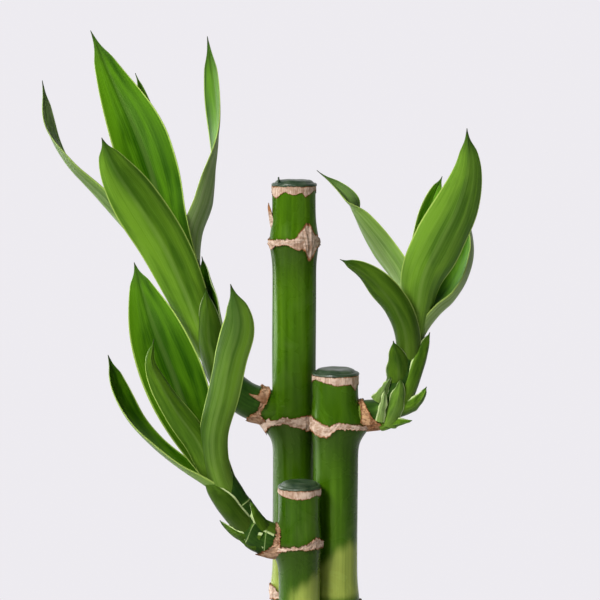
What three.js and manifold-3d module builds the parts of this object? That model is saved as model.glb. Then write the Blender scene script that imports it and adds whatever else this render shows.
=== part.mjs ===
// Lucky bamboo: three cut canes of different lengths, each with one leafy side shoot, standing in
// plain holes in the soil of a round pot. Millimetres, +Z up, origin at the middle of the pot's underside.

import * as THREE from 'three';
import { mergeVertices } from 'three/addons/utils/BufferGeometryUtils.js';
import Module from 'manifold-3d';

const wasm = await Module();
wasm.setup();

// Clearance kept between pieces that touch in the real plant.
const GAP = 0.3;

// Pot: a tapered round wall with a rolled rim and a flat foot. `belly` is the share of the flare
// that is reached at half height, `lip` how far below the rim the inner wall turns straight.
const POT = {
  height: 62, rimRadius: 42, footRadius: 31.5, wall: 3.2, floor: 5, rimBead: 1.4,
  footEdge: 1.5, corner: 3, belly: 0.62, lip: 4,
};
const POT_SIDES = 32;
const BELLY_RADIUS = POT.footRadius + (POT.rimRadius - POT.footRadius) * POT.belly;

// Soil: fills the pot to a little below the rim, slightly heaped at the middle, with rounded edge
// and a plain hole, this much wider than the shaft, for each cane.
const SOIL = { top: 53, heap: 1.6, edge: 2, hole: 1.1 };

// Canes: x, y is the axis; radius is the plain shaft; every cane stands on the same level.
// A node is a ring where a leaf once sat: its height, how far the cane swells there, and the
// direction, in degrees seen from above, in which the ring hangs lowest.
const CANE_FOOT = 12;
const CANE_SIDES = 16;
const CANES = {
  tall: {
    x: -1.9, y: 9, radius: 7.05, top: 214,
    nodes: [
      { z: 27, swell: 0.7, low: 0 },
      { z: 82, swell: 0.7, low: 180 },
      { z: 137.5, swell: 0.7, low: 0 },
      { z: 196, swell: 0.9, low: 200 },
    ],
  },
  middle: {
    x: 11.4, y: -1, radius: 7.25, top: 154,
    nodes: [
      { z: 28, swell: 0.6, low: 180 },
      { z: 83, swell: 0.6, low: 0 },
      { z: 138.3, swell: 0.6, low: 0 },
    ],
  },
  short: {
    x: -0.2, y: -10.5, radius: 6.65, top: 119,
    nodes: [
      { z: 46, swell: 0.6, low: 0 },
      { z: 100.8, swell: 0.6, low: 180 },
    ],
  },
};
// A node's profile: reach of the swelling up and down the cane, half-height, edge and stand-off of
// the dry ring left by the old leaf, and how much the ring leans and waves.
const NODE = { reach: 5, ringHalf: 1.1, ringEdge: 0.3, ringProud: 0.35, lean: 0.7, wave: 0.35 };

// Dried bud below the tall cane's top, on its left side.
const BUD = { z: 204, angle: 180, proud: 1.2, reach: 4, spread: 22 };

// Wax cap over each cut end.
const CAP = { edge: 1.0, bevel: 0.6, dome: 0.9, overhang: 0.15 };

// Shoot stems: axis points from inside the cane to the growing tip, and the radius at each point.
const SHOOTS = {
  upper_left: {
    axis: [[-6, 9, 140], [-14, 8.5, 142], [-19.5, 7.5, 144.5], [-24.5, 6, 149.5], [-27.8, 5.5, 157],
      [-29.8, 5.8, 168], [-31.8, 7.5, 180], [-34, 9.5, 190]],
    radius: [6, 5.8, 5.4, 4.8, 4.1, 3.3, 2.4, 1.2],
  },
  lower_left: {
    axis: [[-4, -10.5, 101.5], [-10.5, -10.7, 102.5], [-15, -11, 105.5], [-19, -11.2, 111.5],
      [-22.8, -11.5, 119], [-26.5, -12, 126.5], [-29.5, -12.5, 134]],
    radius: [5.4, 5.2, 5, 4.6, 4, 3, 1.4],
  },
  right: {
    axis: [[15, -1, 140.5], [21, -1, 141], [26, -1.3, 141.5], [30.5, -1.8, 145], [33.8, -2.5, 151.5],
      [36, -3, 160], [37.6, -3, 169], [38.5, -3, 178]],
    radius: [4.8, 4.8, 4.8, 4.7, 4.3, 3.6, 2.6, 1.2],
  },
};
const SHOOT_SIDES = 10;

// Leaves and scales. Each is a blade carried along its midrib, from root to tip:
//   rib     points on the midrib
//   width   half-widths at the root and at the widest place, measured round the curve of the blade
//   place   where along the midrib the blade is widest, and sharp, how full it stays towards the tip
//   turn    degrees that the blade is turned about its midrib, spread evenly from root to tip;
//           at 0 the hollow side faces -Y on a rib that rises
//   clasp   degrees that each half of the root wraps round the stem, trough, the same further out,
//           and open, where along the midrib the wrap has opened
// A leaf is listed after every leaf that it wraps round.
const BLADE_THICKNESS = 0.7;
const LEAF_FACETS = { along: 11, across: 6 };
const SCALE_FACETS = { along: 6, across: 4 };
const LEAVES = {
  upper_left: [
    { name: 'big_back', rib: [[-31, 10.5, 173.5], [-36.5, 13, 189], [-43, 15, 204], [-48.5, 18, 218.5],
      [-55, 22, 232], [-61.5, 27, 246.5], [-69, 31, 264]],
    width: [5.4, 8.5], place: 0.66, sharp: 2, turn: [5, 10, 5, 0], clasp: 100, trough: 25, open: 0.42 },
    { name: 'spear', rib: [[-31, 11.9, 174], [-37.5, 17, 197.5], [-42.5, 22, 213.5], [-46, 27, 229],
      [-50, 31, 240.5], [-54.5, 33, 250]],
    width: [4.6, 2.8], place: 0.45, sharp: 2, turn: [20, 20, 20], clasp: 60, trough: 50, open: 0.6 },
    { name: 'twisted', rib: [[-30.5, 8.5, 172], [-33.5, 14, 187], [-33.5, 17, 198], [-30, 20, 209],
      [-28, 22, 220], [-27, 22, 233], [-28, 20, 246.5], [-30, 17, 262]],
    width: [6, 6.2], place: 0.55, sharp: 2.6, turn: [-110, -125, -118, -78, -15], clasp: 100, trough: 32,
    open: 0.42 },
    { name: 'outer_left', rib: [[-31.5, 8, 167.5], [-41.5, 10, 184.5], [-52.5, 11, 197.5], [-64, 9, 211],
      [-73, 5, 221.5], [-79, 0, 232.5], [-81, -4, 248]],
    width: [6, 5.4], place: 0.6, sharp: 2.2, turn: [72, 74, 70, 58, 52], clasp: 100, trough: 35,
    open: 0.4 },
    { name: 'big_front', rib: [[-26.5, 1.5, 154.5], [-30.5, 1, 166.5], [-35, 0, 181], [-43, -4, 196.5],
      [-52, -9, 210.5], [-58, -14, 221], [-61.5, -18, 230.5]],
    width: [6.6, 8.3], place: 0.56, sharp: 2, turn: [174, 178, 182, 184, 182], clasp: 100, trough: 28,
    open: 0.5 },
    { name: 'short_back', rib: [[-26, 10, 159], [-28, 10, 171], [-30.5, 9, 181.5], [-32.5, 7, 191.5]],
      width: [7.2, 4.6], place: 0.3, sharp: 1.6, turn: [-45, -50, -55], clasp: 100, trough: 50, open: 0.9,
      facets: SCALE_FACETS },
    { name: 'short_front', rib: [[-22, 1.6, 146.5], [-26.5, -0.2, 154.5], [-29, -0.9, 164.5],
      [-29.5, -1.7, 173.5], [-30, -2.2, 182]],
    width: [9.6, 6.6], place: 0.35, sharp: 1.7, turn: [172, 172, 176], clasp: 120, trough: 60, open: 0.9,
    facets: SCALE_FACETS },
  ],
  lower_left: [
    { name: 'big_back', rib: [[-21, -8, 115], [-28.5, -7, 128], [-35.5, -6, 141.5], [-41, -4, 155.5],
      [-46, -1, 167.5], [-50, 3, 178.5], [-53.5, 7, 189.5]],
    width: [6.5, 10.3], place: 0.5, sharp: 1.8, turn: [0, 4, 0, 0], clasp: 110, trough: 26, open: 0.48 },
    { name: 'outer_left', rib: [[-23.5, -10, 115], [-30.5, -12, 120.5], [-38, -13, 126], [-46, -14, 133],
      [-53.5, -15, 142], [-58, -14.5, 151.5], [-60.5, -13, 162]],
    width: [5.8, 5.4], place: 0.6, sharp: 2.2, turn: [75, 74, 68, 58, 50], clasp: 100, trough: 40,
    open: 0.5 },
    { name: 'curled', rib: [[-21, -13, 116], [-27.5, -15.4, 125.5], [-32.5, -17.5, 135.5],
      [-38.5, -19.5, 144.5], [-43.5, -21, 153.5], [-46.5, -22, 161], [-45.5, -22, 168]],
    width: [6.5, 5], place: 0.35, sharp: 1.6, turn: [-180, -168, -158, -150], clasp: 100, trough: 55,
    open: 0.5 },
    { name: 'short_back', rib: [[-17.5, -6, 111], [-22.5, -6.5, 120], [-25, -8, 130], [-23, -10, 141]],
      width: [6.8, 4.6], place: 0.3, sharp: 1.6, turn: [-15, -15, -15], clasp: 105, trough: 80, open: 0.9,
      facets: SCALE_FACETS },
    { name: 'tall_front', rib: [[-20.5, -14.6, 113], [-26, -16.8, 124], [-27.5, -19, 136],
      [-24.5, -21, 150], [-22, -22.5, 161.5], [-19, -23.5, 173.5], [-21.5, -24, 185.5]],
    width: [5.8, 5.7], place: 0.76, sharp: 1.8, turn: [172, 174, 170, 174, 184], clasp: 100, trough: 40,
    open: 0.8 },
  ],
  right: [
    { name: 'spear', rib: [[38, 1.5, 167], [38.5, 5, 182.5], [40.5, 8, 196.5], [43, 10, 208], [46, 12, 217]],
      width: [5, 3.4], place: 0.45, sharp: 1.8, turn: [0, 0, 0], clasp: 110, trough: 40, open: 0.6 },
    { name: 'big_front', rib: [[37.5, -4, 161.5], [38, -5, 174], [39, -8, 186], [44, -12, 197.5],
      [49.5, -16, 209], [52.5, -20, 221], [51.5, -24, 234.5]],
    width: [6, 8.6], place: 0.5, sharp: 1.8, turn: [178, 182, 188, 186, 182], clasp: 120, trough: 34,
    open: 0.45 },
    { name: 'twisted', rib: [[37, -1, 163.5], [35, 6, 174], [31.5, 12, 183.5], [25.5, 16, 192.5],
      [20, 18, 202], [15.5, 19, 209.5], [5.5, 20, 218.5]],
    width: [6, 6], place: 0.45, sharp: 1.9, turn: [60, 52, 50, 62, 130, 160], clasp: 110, trough: 34,
    open: 0.5 },
    { name: 'outer_right', rib: [[37.5, -2, 160.5], [40.5, 0, 167.5], [44.5, 2, 173.5], [49, 5, 177.5],
      [53, 8, 183.5], [55.5, 11, 190.5], [55.5, 12, 197.5], [53.5, 13, 205.5]],
    width: [5.4, 4.6], place: 0.5, sharp: 2, turn: [-75, -74, -72, -68, -60], clasp: 105, trough: 52,
    open: 0.6 },
    { name: 'outer_left', rib: [[34.5, -5, 156.5], [33.5, -8, 167.5], [30.5, -10, 176], [25, -12, 183.5],
      [19, -14, 189], [12.5, -16, 192.5]],
    width: [7.5, 5.3], place: 0.4, sharp: 2, turn: [172, 168, 163, 158, 150], clasp: 110, trough: 40,
    open: 0.7 },
    { name: 'short_back', rib: [[35, 1, 147], [36.5, 1, 154], [39, 1, 161], [41, 2, 168]],
      width: [7, 4], place: 0.3, sharp: 1.5, turn: [-100, -90, -80], clasp: 110, trough: 60, open: 0.9,
      facets: SCALE_FACETS },
    { name: 'short_front', rib: [[31.5, -4.2, 147], [31.5, -6.6, 153], [31, -8, 159.5], [29.5, -9.4, 166]],
      width: [8.5, 5.6], place: 0.35, sharp: 1.7, turn: [178, 178, 178], clasp: 110, trough: 60, open: 0.9,
      facets: SCALE_FACETS },
  ],
};

// Small scales at the foot of a shoot, grown in one piece with its stem.
const SCALES = {
  lower_left: [
    { rib: [[-20.5, -11.5, 109], [-26.5, -12.5, 115.5], [-29.5, -12.5, 121.5]],
      width: [6.5, 4.5], place: 0.3, sharp: 1.6, turn: [100, 100, 100], clasp: 90, trough: 70, open: 0.9 },
    { rib: [[-15, -12, 101.5], [-21, -12, 104.5], [-25.5, -12.5, 109]],
      width: [5.5, 3.2], place: 0.3, sharp: 1.5, turn: [90, 90, 90], clasp: 80, trough: 60, open: 0.9 },
    { rib: [[-12, -15.8, 104.5], [-14, -16.6, 110], [-16.5, -15.8, 114.5]],
      width: [6, 4], place: 0.3, sharp: 1.6, turn: [180, 180, 180], clasp: 80, trough: 60, open: 0.9 },
  ],
  right: [
    { rib: [[29.5, -2, 142.5], [35, -2, 145], [40.5, -2.5, 150]],
      width: [5.5, 3.4], place: 0.35, sharp: 1.5, turn: [-60, -60, -60], clasp: 80, trough: 45, open: 0.9 },
    { rib: [[26.5, -2.5, 139], [31, -3, 138.8], [35.8, -3, 139.8]],
      width: [4.5, 2.6], place: 0.35, sharp: 1.5, turn: [-110, -110, -110], clasp: 80, trough: 45, open: 0.9 },
    { rib: [[30, -6.2, 141.5], [32, -7.6, 147], [32.3, -8.4, 153]],
      width: [5, 3], place: 0.35, sharp: 1.6, turn: [180, 180, 180], clasp: 90, trough: 60, open: 0.9 },
  ],
};

const finish = (color, roughness) => new THREE.MeshStandardMaterial({ color, roughness, metalness: 0 });
const MATERIALS = {
  pot: finish('#e9e6e0', 0.35),
  soil: finish('#3b2a1e', 0.95),
  cane: finish('#3f6f1c', 0.4),
  wax: finish('#2c4638', 0.3),
  shoot: finish('#5b8a2f', 0.45),
  leaf: finish('#3c7a1e', 0.35),
};

const radians = THREE.MathUtils.degToRad;
const vector = ([x, y, z]) => new THREE.Vector3(x, y, z);
const through = (points) => new THREE.CatmullRomCurve3(points.map(vector), false, 'catmullrom', 0.5);

// A smooth value between 0 and 1 through a few values spaced evenly.
function valueAlong(values) {
  const curve = through(values.map((value) => [value, 0, 0]));
  return (t) => curve.getPoint(t).x;
}

// A closed triangle mesh, as a solid. Faces are turned to point outwards.
function solidOf(geometry) {
  const bare = geometry.clone();
  bare.deleteAttribute('normal');
  bare.deleteAttribute('uv');
  const merged = mergeVertices(bare, 1e-5);
  const vertProperties = new Float32Array(merged.attributes.position.array);
  const corners = new Uint32Array(merged.index.array);
  const build = (triVerts) => new wasm.Manifold(new wasm.Mesh({ numProp: 3, vertProperties, triVerts }));
  const solid = build(corners);
  return solid.volume() > 0 ? solid : build(corners.toReversed());
}

// The largest single body of a solid, so that no loose scrap is kept after a cut.
function mainBody(solid) {
  return solid.decompose().reduce((best, body) => (body.volume() > best.volume() ? body : best));
}

function geometryOf(solid) {
  const mesh = solid.getMesh();
  const geometry = new THREE.BufferGeometry();
  geometry.setAttribute('position', new THREE.BufferAttribute(mesh.vertProperties, 3));
  geometry.setIndex(new THREE.BufferAttribute(mesh.triVerts, 1));
  geometry.computeVertexNormals();
  return geometry;
}

function indexed(positions, triangles) {
  const geometry = new THREE.BufferGeometry();
  const numbers = positions.flatMap((p) => [p.x, p.y, p.z]);
  geometry.setAttribute('position', new THREE.Float32BufferAttribute(numbers, 3));
  geometry.setIndex(triangles);
  return geometry;
}

// A closed skin over rings of points, each ring with the same number of points, and both ends capped
// by a fan to the ring's middle.
function skinOfRings(rings) {
  const sides = rings[0].length;
  const points = rings.flat();
  const triangles = [];
  for (let i = 0; i < rings.length - 1; i += 1) {
    for (let j = 0; j < sides; j += 1) {
      const a = i * sides + j;
      const b = i * sides + ((j + 1) % sides);
      triangles.push(a, b, b + sides, a, b + sides, a + sides);
    }
  }
  const middle = (ring) => ring.reduce((sum, p) => sum.add(p), new THREE.Vector3()).divideScalar(sides);
  const last = (rings.length - 1) * sides;
  const first = points.push(middle(rings[0])) - 1;
  const end = points.push(middle(rings[rings.length - 1])) - 1;
  for (let j = 0; j < sides; j += 1) {
    const k = (j + 1) % sides;
    triangles.push(first, k, j, end, last + j, last + k);
  }
  return solidOf(indexed(points, triangles));
}

// Bell of height 1 at 0 that fades over `reach`.
const bell = (distance, reach) => Math.exp(-((distance / reach) ** 2));

// Heights of the rings of points up a cane: both ends, three pairs at each node, and the bud.
function caneHeights(cane) {
  const heights = [CANE_FOOT, cane.top];
  const { ringHalf, ringEdge, reach } = NODE;
  for (const { z } of cane.nodes) {
    for (const step of [reach * 1.2, ringHalf + ringEdge, ringHalf]) heights.push(z - step, z + step);
  }
  if (cane === CANES.tall) heights.push(BUD.z - BUD.reach / 2, BUD.z, BUD.z + BUD.reach / 2);
  return heights.filter((z) => z >= CANE_FOOT && z <= cane.top).sort((a, b) => a - b);
}

// One point of a cane's skin: the shaft's radius, plus a bell at each node, plus the proud dry ring,
// which leans and waves round the cane, plus the bud on the tall cane.
function canePoint(cane, height, angle, grow) {
  const flat = height === CANE_FOOT || height === cane.top;
  let radius = cane.radius + grow;
  let z = height;
  for (const node of cane.nodes) {
    const away = height - node.z;
    radius += node.swell * bell(away, NODE.reach);
    if (Math.abs(away) < NODE.ringHalf + NODE.ringEdge / 2) radius += NODE.ringProud;
    const tilt = -NODE.lean * Math.cos(angle - radians(node.low)) + NODE.wave * Math.sin(3 * angle + node.z);
    if (!flat) z += tilt * bell(away, NODE.reach * 0.7);
  }
  if (cane === CANES.tall) {
    const aside = THREE.MathUtils.radToDeg(angle) - BUD.angle;
    radius += BUD.proud * bell(height - BUD.z, BUD.reach) * bell(aside, BUD.spread);
  }
  return new THREE.Vector3(cane.x + radius * Math.cos(angle), cane.y + radius * Math.sin(angle), z);
}

// A cane; `grow` makes the same shape larger all round.
function caneSolid(cane, grow = 0) {
  const rings = caneHeights(cane).map((height) => {
    const ring = [];
    for (let i = 0; i < CANE_SIDES; i += 1) {
      ring.push(canePoint(cane, height, (i / CANE_SIDES) * 2 * Math.PI, grow));
    }
    return ring;
  });
  return skinOfRings(rings);
}

// Wax cap: a low dome with a rounded edge, flat below where it sits on the cut end.
function capGeometry(cane) {
  const radius = cane.radius + CAP.overhang;
  const profile = [
    new THREE.Vector2(0, 0),
    new THREE.Vector2(radius, 0),
    new THREE.Vector2(radius, CAP.edge - CAP.bevel),
    new THREE.Vector2(radius - CAP.bevel, CAP.edge),
    new THREE.Vector2(radius * 0.55, CAP.edge + CAP.dome * 0.75),
    new THREE.Vector2(0, CAP.edge + CAP.dome),
  ];
  return new THREE.LatheGeometry(profile, CANE_SIDES).rotateX(Math.PI / 2);
}

// A stem: circles of changing radius carried along the axis.
function stemSolid({ axis, radius }, grow = 0) {
  const curve = through(axis);
  const radiusAt = valueAlong(radius);
  const steps = (axis.length - 1) * 2;
  const rings = [];
  for (let i = 0; i <= steps; i += 1) {
    const t = i / steps;
    const tangent = curve.getTangent(t);
    const across = new THREE.Vector3(0, 1, 0).cross(tangent).normalize();
    const lift = tangent.clone().cross(across);
    const size = radiusAt(t) + grow;
    const ring = [];
    for (let j = 0; j < SHOOT_SIDES; j += 1) {
      const angle = (j / SHOOT_SIDES) * 2 * Math.PI;
      ring.push(curve.getPoint(t)
        .addScaledVector(across, size * Math.cos(angle))
        .addScaledVector(lift, size * Math.sin(angle)));
    }
    rings.push(ring);
  }
  return skinOfRings(rings);
}

// Half-width of a blade at t: it swells from the root to the widest place on a sine, and falls to
// the tip as 1 minus a power.
function halfWidth({ width: [root, widest], place, sharp }, t) {
  if (t < place) return root + (widest - root) * Math.sin((Math.PI / 2) * (t / place)) ** 2;
  return widest * (1 - ((t - place) / (1 - place)) ** sharp);
}

// One cross-section of a blade: an arc of upper points and an arc of under points. The arc closes
// round the stem at the root and is nearly flat further out.
function bladeSection(leaf, curve, turn, t, across, grow) {
  const opening = Math.max(0, 1 - t / leaf.open) ** 1.5;
  const wrap = radians(leaf.trough + (leaf.clasp - leaf.trough) * opening);
  const bend = (Math.max(halfWidth(leaf, t), wrap * 0.9) + grow) / wrap;
  const half = BLADE_THICKNESS / 2 + grow;
  const tangent = curve.getTangent(t);
  const flat = new THREE.Vector3(0, 1, 0).cross(tangent).normalize();
  const side = flat.clone().multiplyScalar(Math.cos(turn))
    .addScaledVector(tangent.clone().cross(flat), Math.sin(turn));
  const hollow = side.clone().cross(tangent);
  const centre = curve.getPoint(t).addScaledVector(hollow, bend);
  const outer = [];
  const inner = [];
  for (let j = 0; j <= across; j += 1) {
    const angle = wrap * ((2 * j) / across - 1);
    const out = side.clone().multiplyScalar(Math.sin(angle)).addScaledVector(hollow, -Math.cos(angle));
    outer.push(centre.clone().addScaledVector(out, bend + half));
    inner.push(centre.clone().addScaledVector(out, bend - half));
  }
  return { outer, inner };
}

// A blade: cross-sections along the midrib, joined by the same triangles on both faces and closed
// by a thin wall round the edge; `grow` makes the same shape larger all round.
function bladeSolid(leaf, grow = 0) {
  const { along, across } = leaf.facets ?? LEAF_FACETS;
  const curve = through(leaf.rib);
  const turnAt = valueAlong(leaf.turn);
  const outer = [];
  const inner = [];
  for (let i = 0; i <= along; i += 1) {
    const t = i / along;
    const section = bladeSection(leaf, curve, radians(turnAt(t)), t, across, grow);
    outer.push(...section.outer);
    inner.push(...section.inner);
  }
  const row = across + 1;
  const sheet = (along + 1) * row;
  const triangles = [];
  const wall = (a, b) => triangles.push(a, b, b + sheet, a, b + sheet, a + sheet);
  for (let i = 0; i < along; i += 1) {
    for (let j = 0; j < across; j += 1) {
      const a = i * row + j;
      const [b, c, d] = [a + row, a + row + 1, a + 1];
      triangles.push(a, b, c, a, c, d);
      triangles.push(a + sheet, c + sheet, b + sheet, a + sheet, d + sheet, c + sheet);
    }
    wall((i + 1) * row, i * row);
    wall(i * row + across, (i + 1) * row + across);
  }
  for (let j = 0; j < across; j += 1) {
    wall(j, j + 1);
    wall(along * row + j + 1, along * row + j);
  }
  return solidOf(indexed([...outer, ...inner], triangles));
}

function potGeometry() {
  const { height, rimRadius, footRadius, wall, floor, rimBead, footEdge, corner, lip } = POT;
  const rim = [0, 45, 90, 135].map((degrees) => new THREE.Vector2(
    rimRadius - rimBead + rimBead * Math.cos(radians(degrees)),
    height - rimBead + rimBead * Math.sin(radians(degrees)),
  ));
  const profile = [
    new THREE.Vector2(0, 0),
    new THREE.Vector2(footRadius - footEdge, 0),
    new THREE.Vector2(footRadius, footEdge),
    new THREE.Vector2(BELLY_RADIUS, height / 2),
    ...rim,
    new THREE.Vector2(rimRadius - wall, height - lip),
    new THREE.Vector2(BELLY_RADIUS - wall, height / 2),
    new THREE.Vector2(footRadius - wall, floor + corner),
    new THREE.Vector2(footRadius - wall - corner, floor),
    new THREE.Vector2(0, floor),
  ];
  return new THREE.LatheGeometry(profile, POT_SIDES).rotateX(Math.PI / 2);
}

// Soil: a lathed plug that keeps GAP to the pot's wall and rests on its floor.
function soilSolid() {
  const { height, rimRadius, footRadius, wall, floor, corner, lip } = POT;
  const share = (SOIL.top - SOIL.edge - height / 2) / (height / 2 - lip);
  const edge = BELLY_RADIUS + (rimRadius - BELLY_RADIUS) * share - wall - GAP;
  const profile = [
    new THREE.Vector2(0, floor),
    new THREE.Vector2(footRadius - wall - corner - GAP, floor),
    new THREE.Vector2(footRadius - wall - GAP, floor + corner + GAP),
    new THREE.Vector2(BELLY_RADIUS - wall - GAP, height / 2),
    new THREE.Vector2(edge, SOIL.top - SOIL.edge),
    new THREE.Vector2(edge - SOIL.edge, SOIL.top),
    new THREE.Vector2(edge * 0.6, SOIL.top + SOIL.heap * 0.6),
    new THREE.Vector2(0, SOIL.top + SOIL.heap),
  ];
  let soil = solidOf(new THREE.LatheGeometry(profile, POT_SIDES).rotateX(Math.PI / 2));
  const depth = height;
  for (const cane of Object.values(CANES)) {
    const bore = cane.radius + SOIL.hole;
    const hole = new THREE.CylinderGeometry(bore, bore, depth, CANE_SIDES)
      .rotateX(Math.PI / 2)
      .translate(cane.x, cane.y, CANE_FOOT + depth / 2);
    soil = soil.subtract(solidOf(hole));
  }
  return mainBody(soil);
}

const plant = new THREE.Group();

function addPiece(name, geometry, material) {
  const mesh = new THREE.Mesh(geometry, material);
  mesh.name = name;
  plant.add(mesh);
  return mesh;
}

addPiece('pot', potGeometry(), MATERIALS.pot);
addPiece('soil', geometryOf(soilSolid()), MATERIALS.soil);

const grownCanes = [];
for (const [size, cane] of Object.entries(CANES)) {
  addPiece(`cane_${size}`, geometryOf(caneSolid(cane)), MATERIALS.cane);
  addPiece(`wax_cap_${size}`, capGeometry(cane), MATERIALS.wax).position.set(cane.x, cane.y, cane.top);
  grownCanes.push(caneSolid(cane, GAP));
}

// Each stem is cut clear of the canes, and each leaf clear of the canes, the stems and every leaf
// before it, so that a sheath ends on the piece that it wraps.
const taken = [...grownCanes];
for (const [place, shoot] of Object.entries(SHOOTS)) {
  let stem = stemSolid(shoot);
  let grownStem = stemSolid(shoot, GAP);
  for (const scale of SCALES[place] ?? []) {
    stem = stem.add(bladeSolid({ ...scale, facets: SCALE_FACETS }));
    grownStem = grownStem.add(bladeSolid({ ...scale, facets: SCALE_FACETS }, GAP));
  }
  for (const cane of grownCanes) stem = stem.subtract(cane);
  addPiece(`shoot_${place}`, geometryOf(mainBody(stem)), MATERIALS.shoot);
  taken.push(grownStem);
  for (const leaf of LEAVES[place]) {
    let blade = bladeSolid(leaf);
    for (const other of taken) blade = blade.subtract(other);
    addPiece(`leaf_${place}_${leaf.name}`, geometryOf(mainBody(blade)), MATERIALS.leaf);
    taken.push(bladeSolid(leaf, GAP));
  }
}

export default plant;
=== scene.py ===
"""Lucky bamboo: cut canes with waxed ends and leafy side shoots in a potted clump, dressed for rendering.

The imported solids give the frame. Every piece here is a numpy surface in the same place as its solid,
in metres, with a procedural finish.
"""

import logging
import math
from dataclasses import dataclass, field
from enum import Enum
from itertools import combinations

import bpy
import numpy as np
from numpy.typing import NDArray
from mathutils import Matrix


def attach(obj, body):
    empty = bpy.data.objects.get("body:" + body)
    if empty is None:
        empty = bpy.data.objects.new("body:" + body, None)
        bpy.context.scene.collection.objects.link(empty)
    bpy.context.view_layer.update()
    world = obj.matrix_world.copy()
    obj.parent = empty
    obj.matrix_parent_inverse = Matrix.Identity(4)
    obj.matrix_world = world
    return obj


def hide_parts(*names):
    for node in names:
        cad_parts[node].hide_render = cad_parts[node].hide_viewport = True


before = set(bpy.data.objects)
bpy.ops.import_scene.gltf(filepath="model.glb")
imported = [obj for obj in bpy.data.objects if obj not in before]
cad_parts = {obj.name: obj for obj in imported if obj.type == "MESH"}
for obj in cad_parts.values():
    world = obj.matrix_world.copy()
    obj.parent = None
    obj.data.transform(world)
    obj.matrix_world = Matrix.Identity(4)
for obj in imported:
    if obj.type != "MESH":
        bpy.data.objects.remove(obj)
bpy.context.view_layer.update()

Array = NDArray[np.float64]
Point = tuple[float, float, float]
Colour = tuple[float, float, float]
Socket = bpy.types.NodeSocket
Material = bpy.types.Material

MM = 0.001
GREEN_RIM: Colour = (0.34, 0.47, 0.1)
PALE_RIM: Colour = (0.48, 0.58, 0.27)
ROUND = 72  # points round a stem, a shaft and a cap
RING_PROUD = 0.36  # how far a dry ring stands off its cane, in mm
FOLD, WRINKLE, CURL = 0.11, 0.09, 0.34  # heights of the relief on dry strips, in mm
# The wax: share of its radius, and mm above the cut, from under its skirt to the middle of its top.
CAP_PROFILE = ((0.25, -0.02), (0.85, -0.02), (1.0, -0.02), (1.02, 0.35), (1.0, 0.75), (0.955, 1.02),
               (0.88, 1.08), (0.85, 1.3), (0.79, 1.75), (0.69, 2.02), (0.52, 2.06), (0.3, 1.92),
               (0.05, 1.84))
LOG = logging.getLogger("lucky_bamboo")


class Slot(Enum):
    """Material slots of the record."""

    POT = "pot"
    SOIL = "soil"
    CANE = "cane"
    WAX = "wax"
    SHOOT = "shoot"
    LEAF = "leaf"


# Curves and noise


def along(points: Array | list, t: Array) -> Array:
    """Follow a smooth line through points.

    Uniform Catmull-Rom: each span is the cubic through its two ends whose slope at a point is half
    the step between that point's neighbours; the ends are carried on in a straight line.

    Args:
        points: One row a point, or one number a point.
        t: Places from 0, the first point, to 1, the last.

    Returns:
        One row for each t.
    """
    v = np.asarray(points, float)
    v = v[:, None] if v.ndim == 1 else v
    last = len(v) - 1
    u = np.clip(t, 0, 1) * last
    i = np.minimum(u.astype(int), last - 1)
    f = (u - i)[:, None]
    e = np.vstack([2 * v[0] - v[1], v, 2 * v[-1] - v[-2]])
    a, b, c, d = e[i], e[i + 1], e[i + 2], e[i + 3]
    square, cube = 2 * a - 5 * b + 4 * c - d, 3 * b - a - 3 * c + d
    return 0.5 * (2 * b + (c - a) * f + square * f**2 + cube * f**3)


def unit(v: Array) -> Array:
    """Scale each row to length 1."""
    return v / np.linalg.norm(v, axis=-1, keepdims=True)


def full_turn(count: int) -> Array:
    """Angles in radians, evenly spaced round a full turn."""
    return np.linspace(0, 2 * np.pi, count, endpoint=False)


def apart(angle: Array, towards: float) -> Array:
    """Degrees between angles in radians and a direction in degrees, the short way round."""
    return np.degrees(np.abs(np.angle(np.exp(1j * (angle - math.radians(towards))))))


def heading(points: Array | list, t: Array) -> Array:
    """Unit direction of the smooth line through points, from one short step before t to one after."""
    step = 1e-4
    return unit(along(points, np.minimum(t + step, 1)) - along(points, np.maximum(t - step, 0)))


def round_axis(r: Array, angle: Array, z: Array, x: float = 0.0, y: float = 0.0) -> Array:
    """Points at radius r and height z round the upright line through x and y."""
    r, angle, z = np.broadcast_arrays(r, angle, z)
    return np.stack([x + r * np.cos(angle), y + r * np.sin(angle), z], -1)


def bell(x: Array, reach: Array | float) -> Array:
    """Bell of height 1 at 0: e to the minus (x over reach) squared."""
    return np.exp(-((x / reach) ** 2))


def smooth(x: Array, low: float, high: float) -> Array:
    """Ease from 0 at low to 1 at high, as 3s squared minus 2s cubed."""
    s = np.clip((x - low) / (high - low), 0, 1)
    return s * s * (3 - 2 * s)


def ripple(angle: Array, seed: int, waves: tuple[int, int] = (1, 8), fall: float = 0.6) -> Array:
    """Make a wavy value that closes on itself after a full turn.

    A sum of sines, one for each whole number of waves a turn, with seeded phases and a height that
    falls as the number of waves to the power minus `fall`. It stays roughly within -1 to 1.

    Args:
        angle: Angles in radians.
        seed: Picks the phases.
        waves: Fewest and most waves a turn.
        fall: How fast the finer waves fade.

    Returns:
        A value for each angle.
    """
    rng = np.random.default_rng(seed)
    counts = np.arange(waves[0], waves[1] + 1)
    phase = rng.uniform(0, 2 * math.pi, len(counts))
    height = counts ** -fall
    waved = np.sin(np.asarray(angle)[..., None] * counts + phase) * height
    return waved.sum(-1) / np.sqrt((height**2).sum() / 2) / 2


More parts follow.
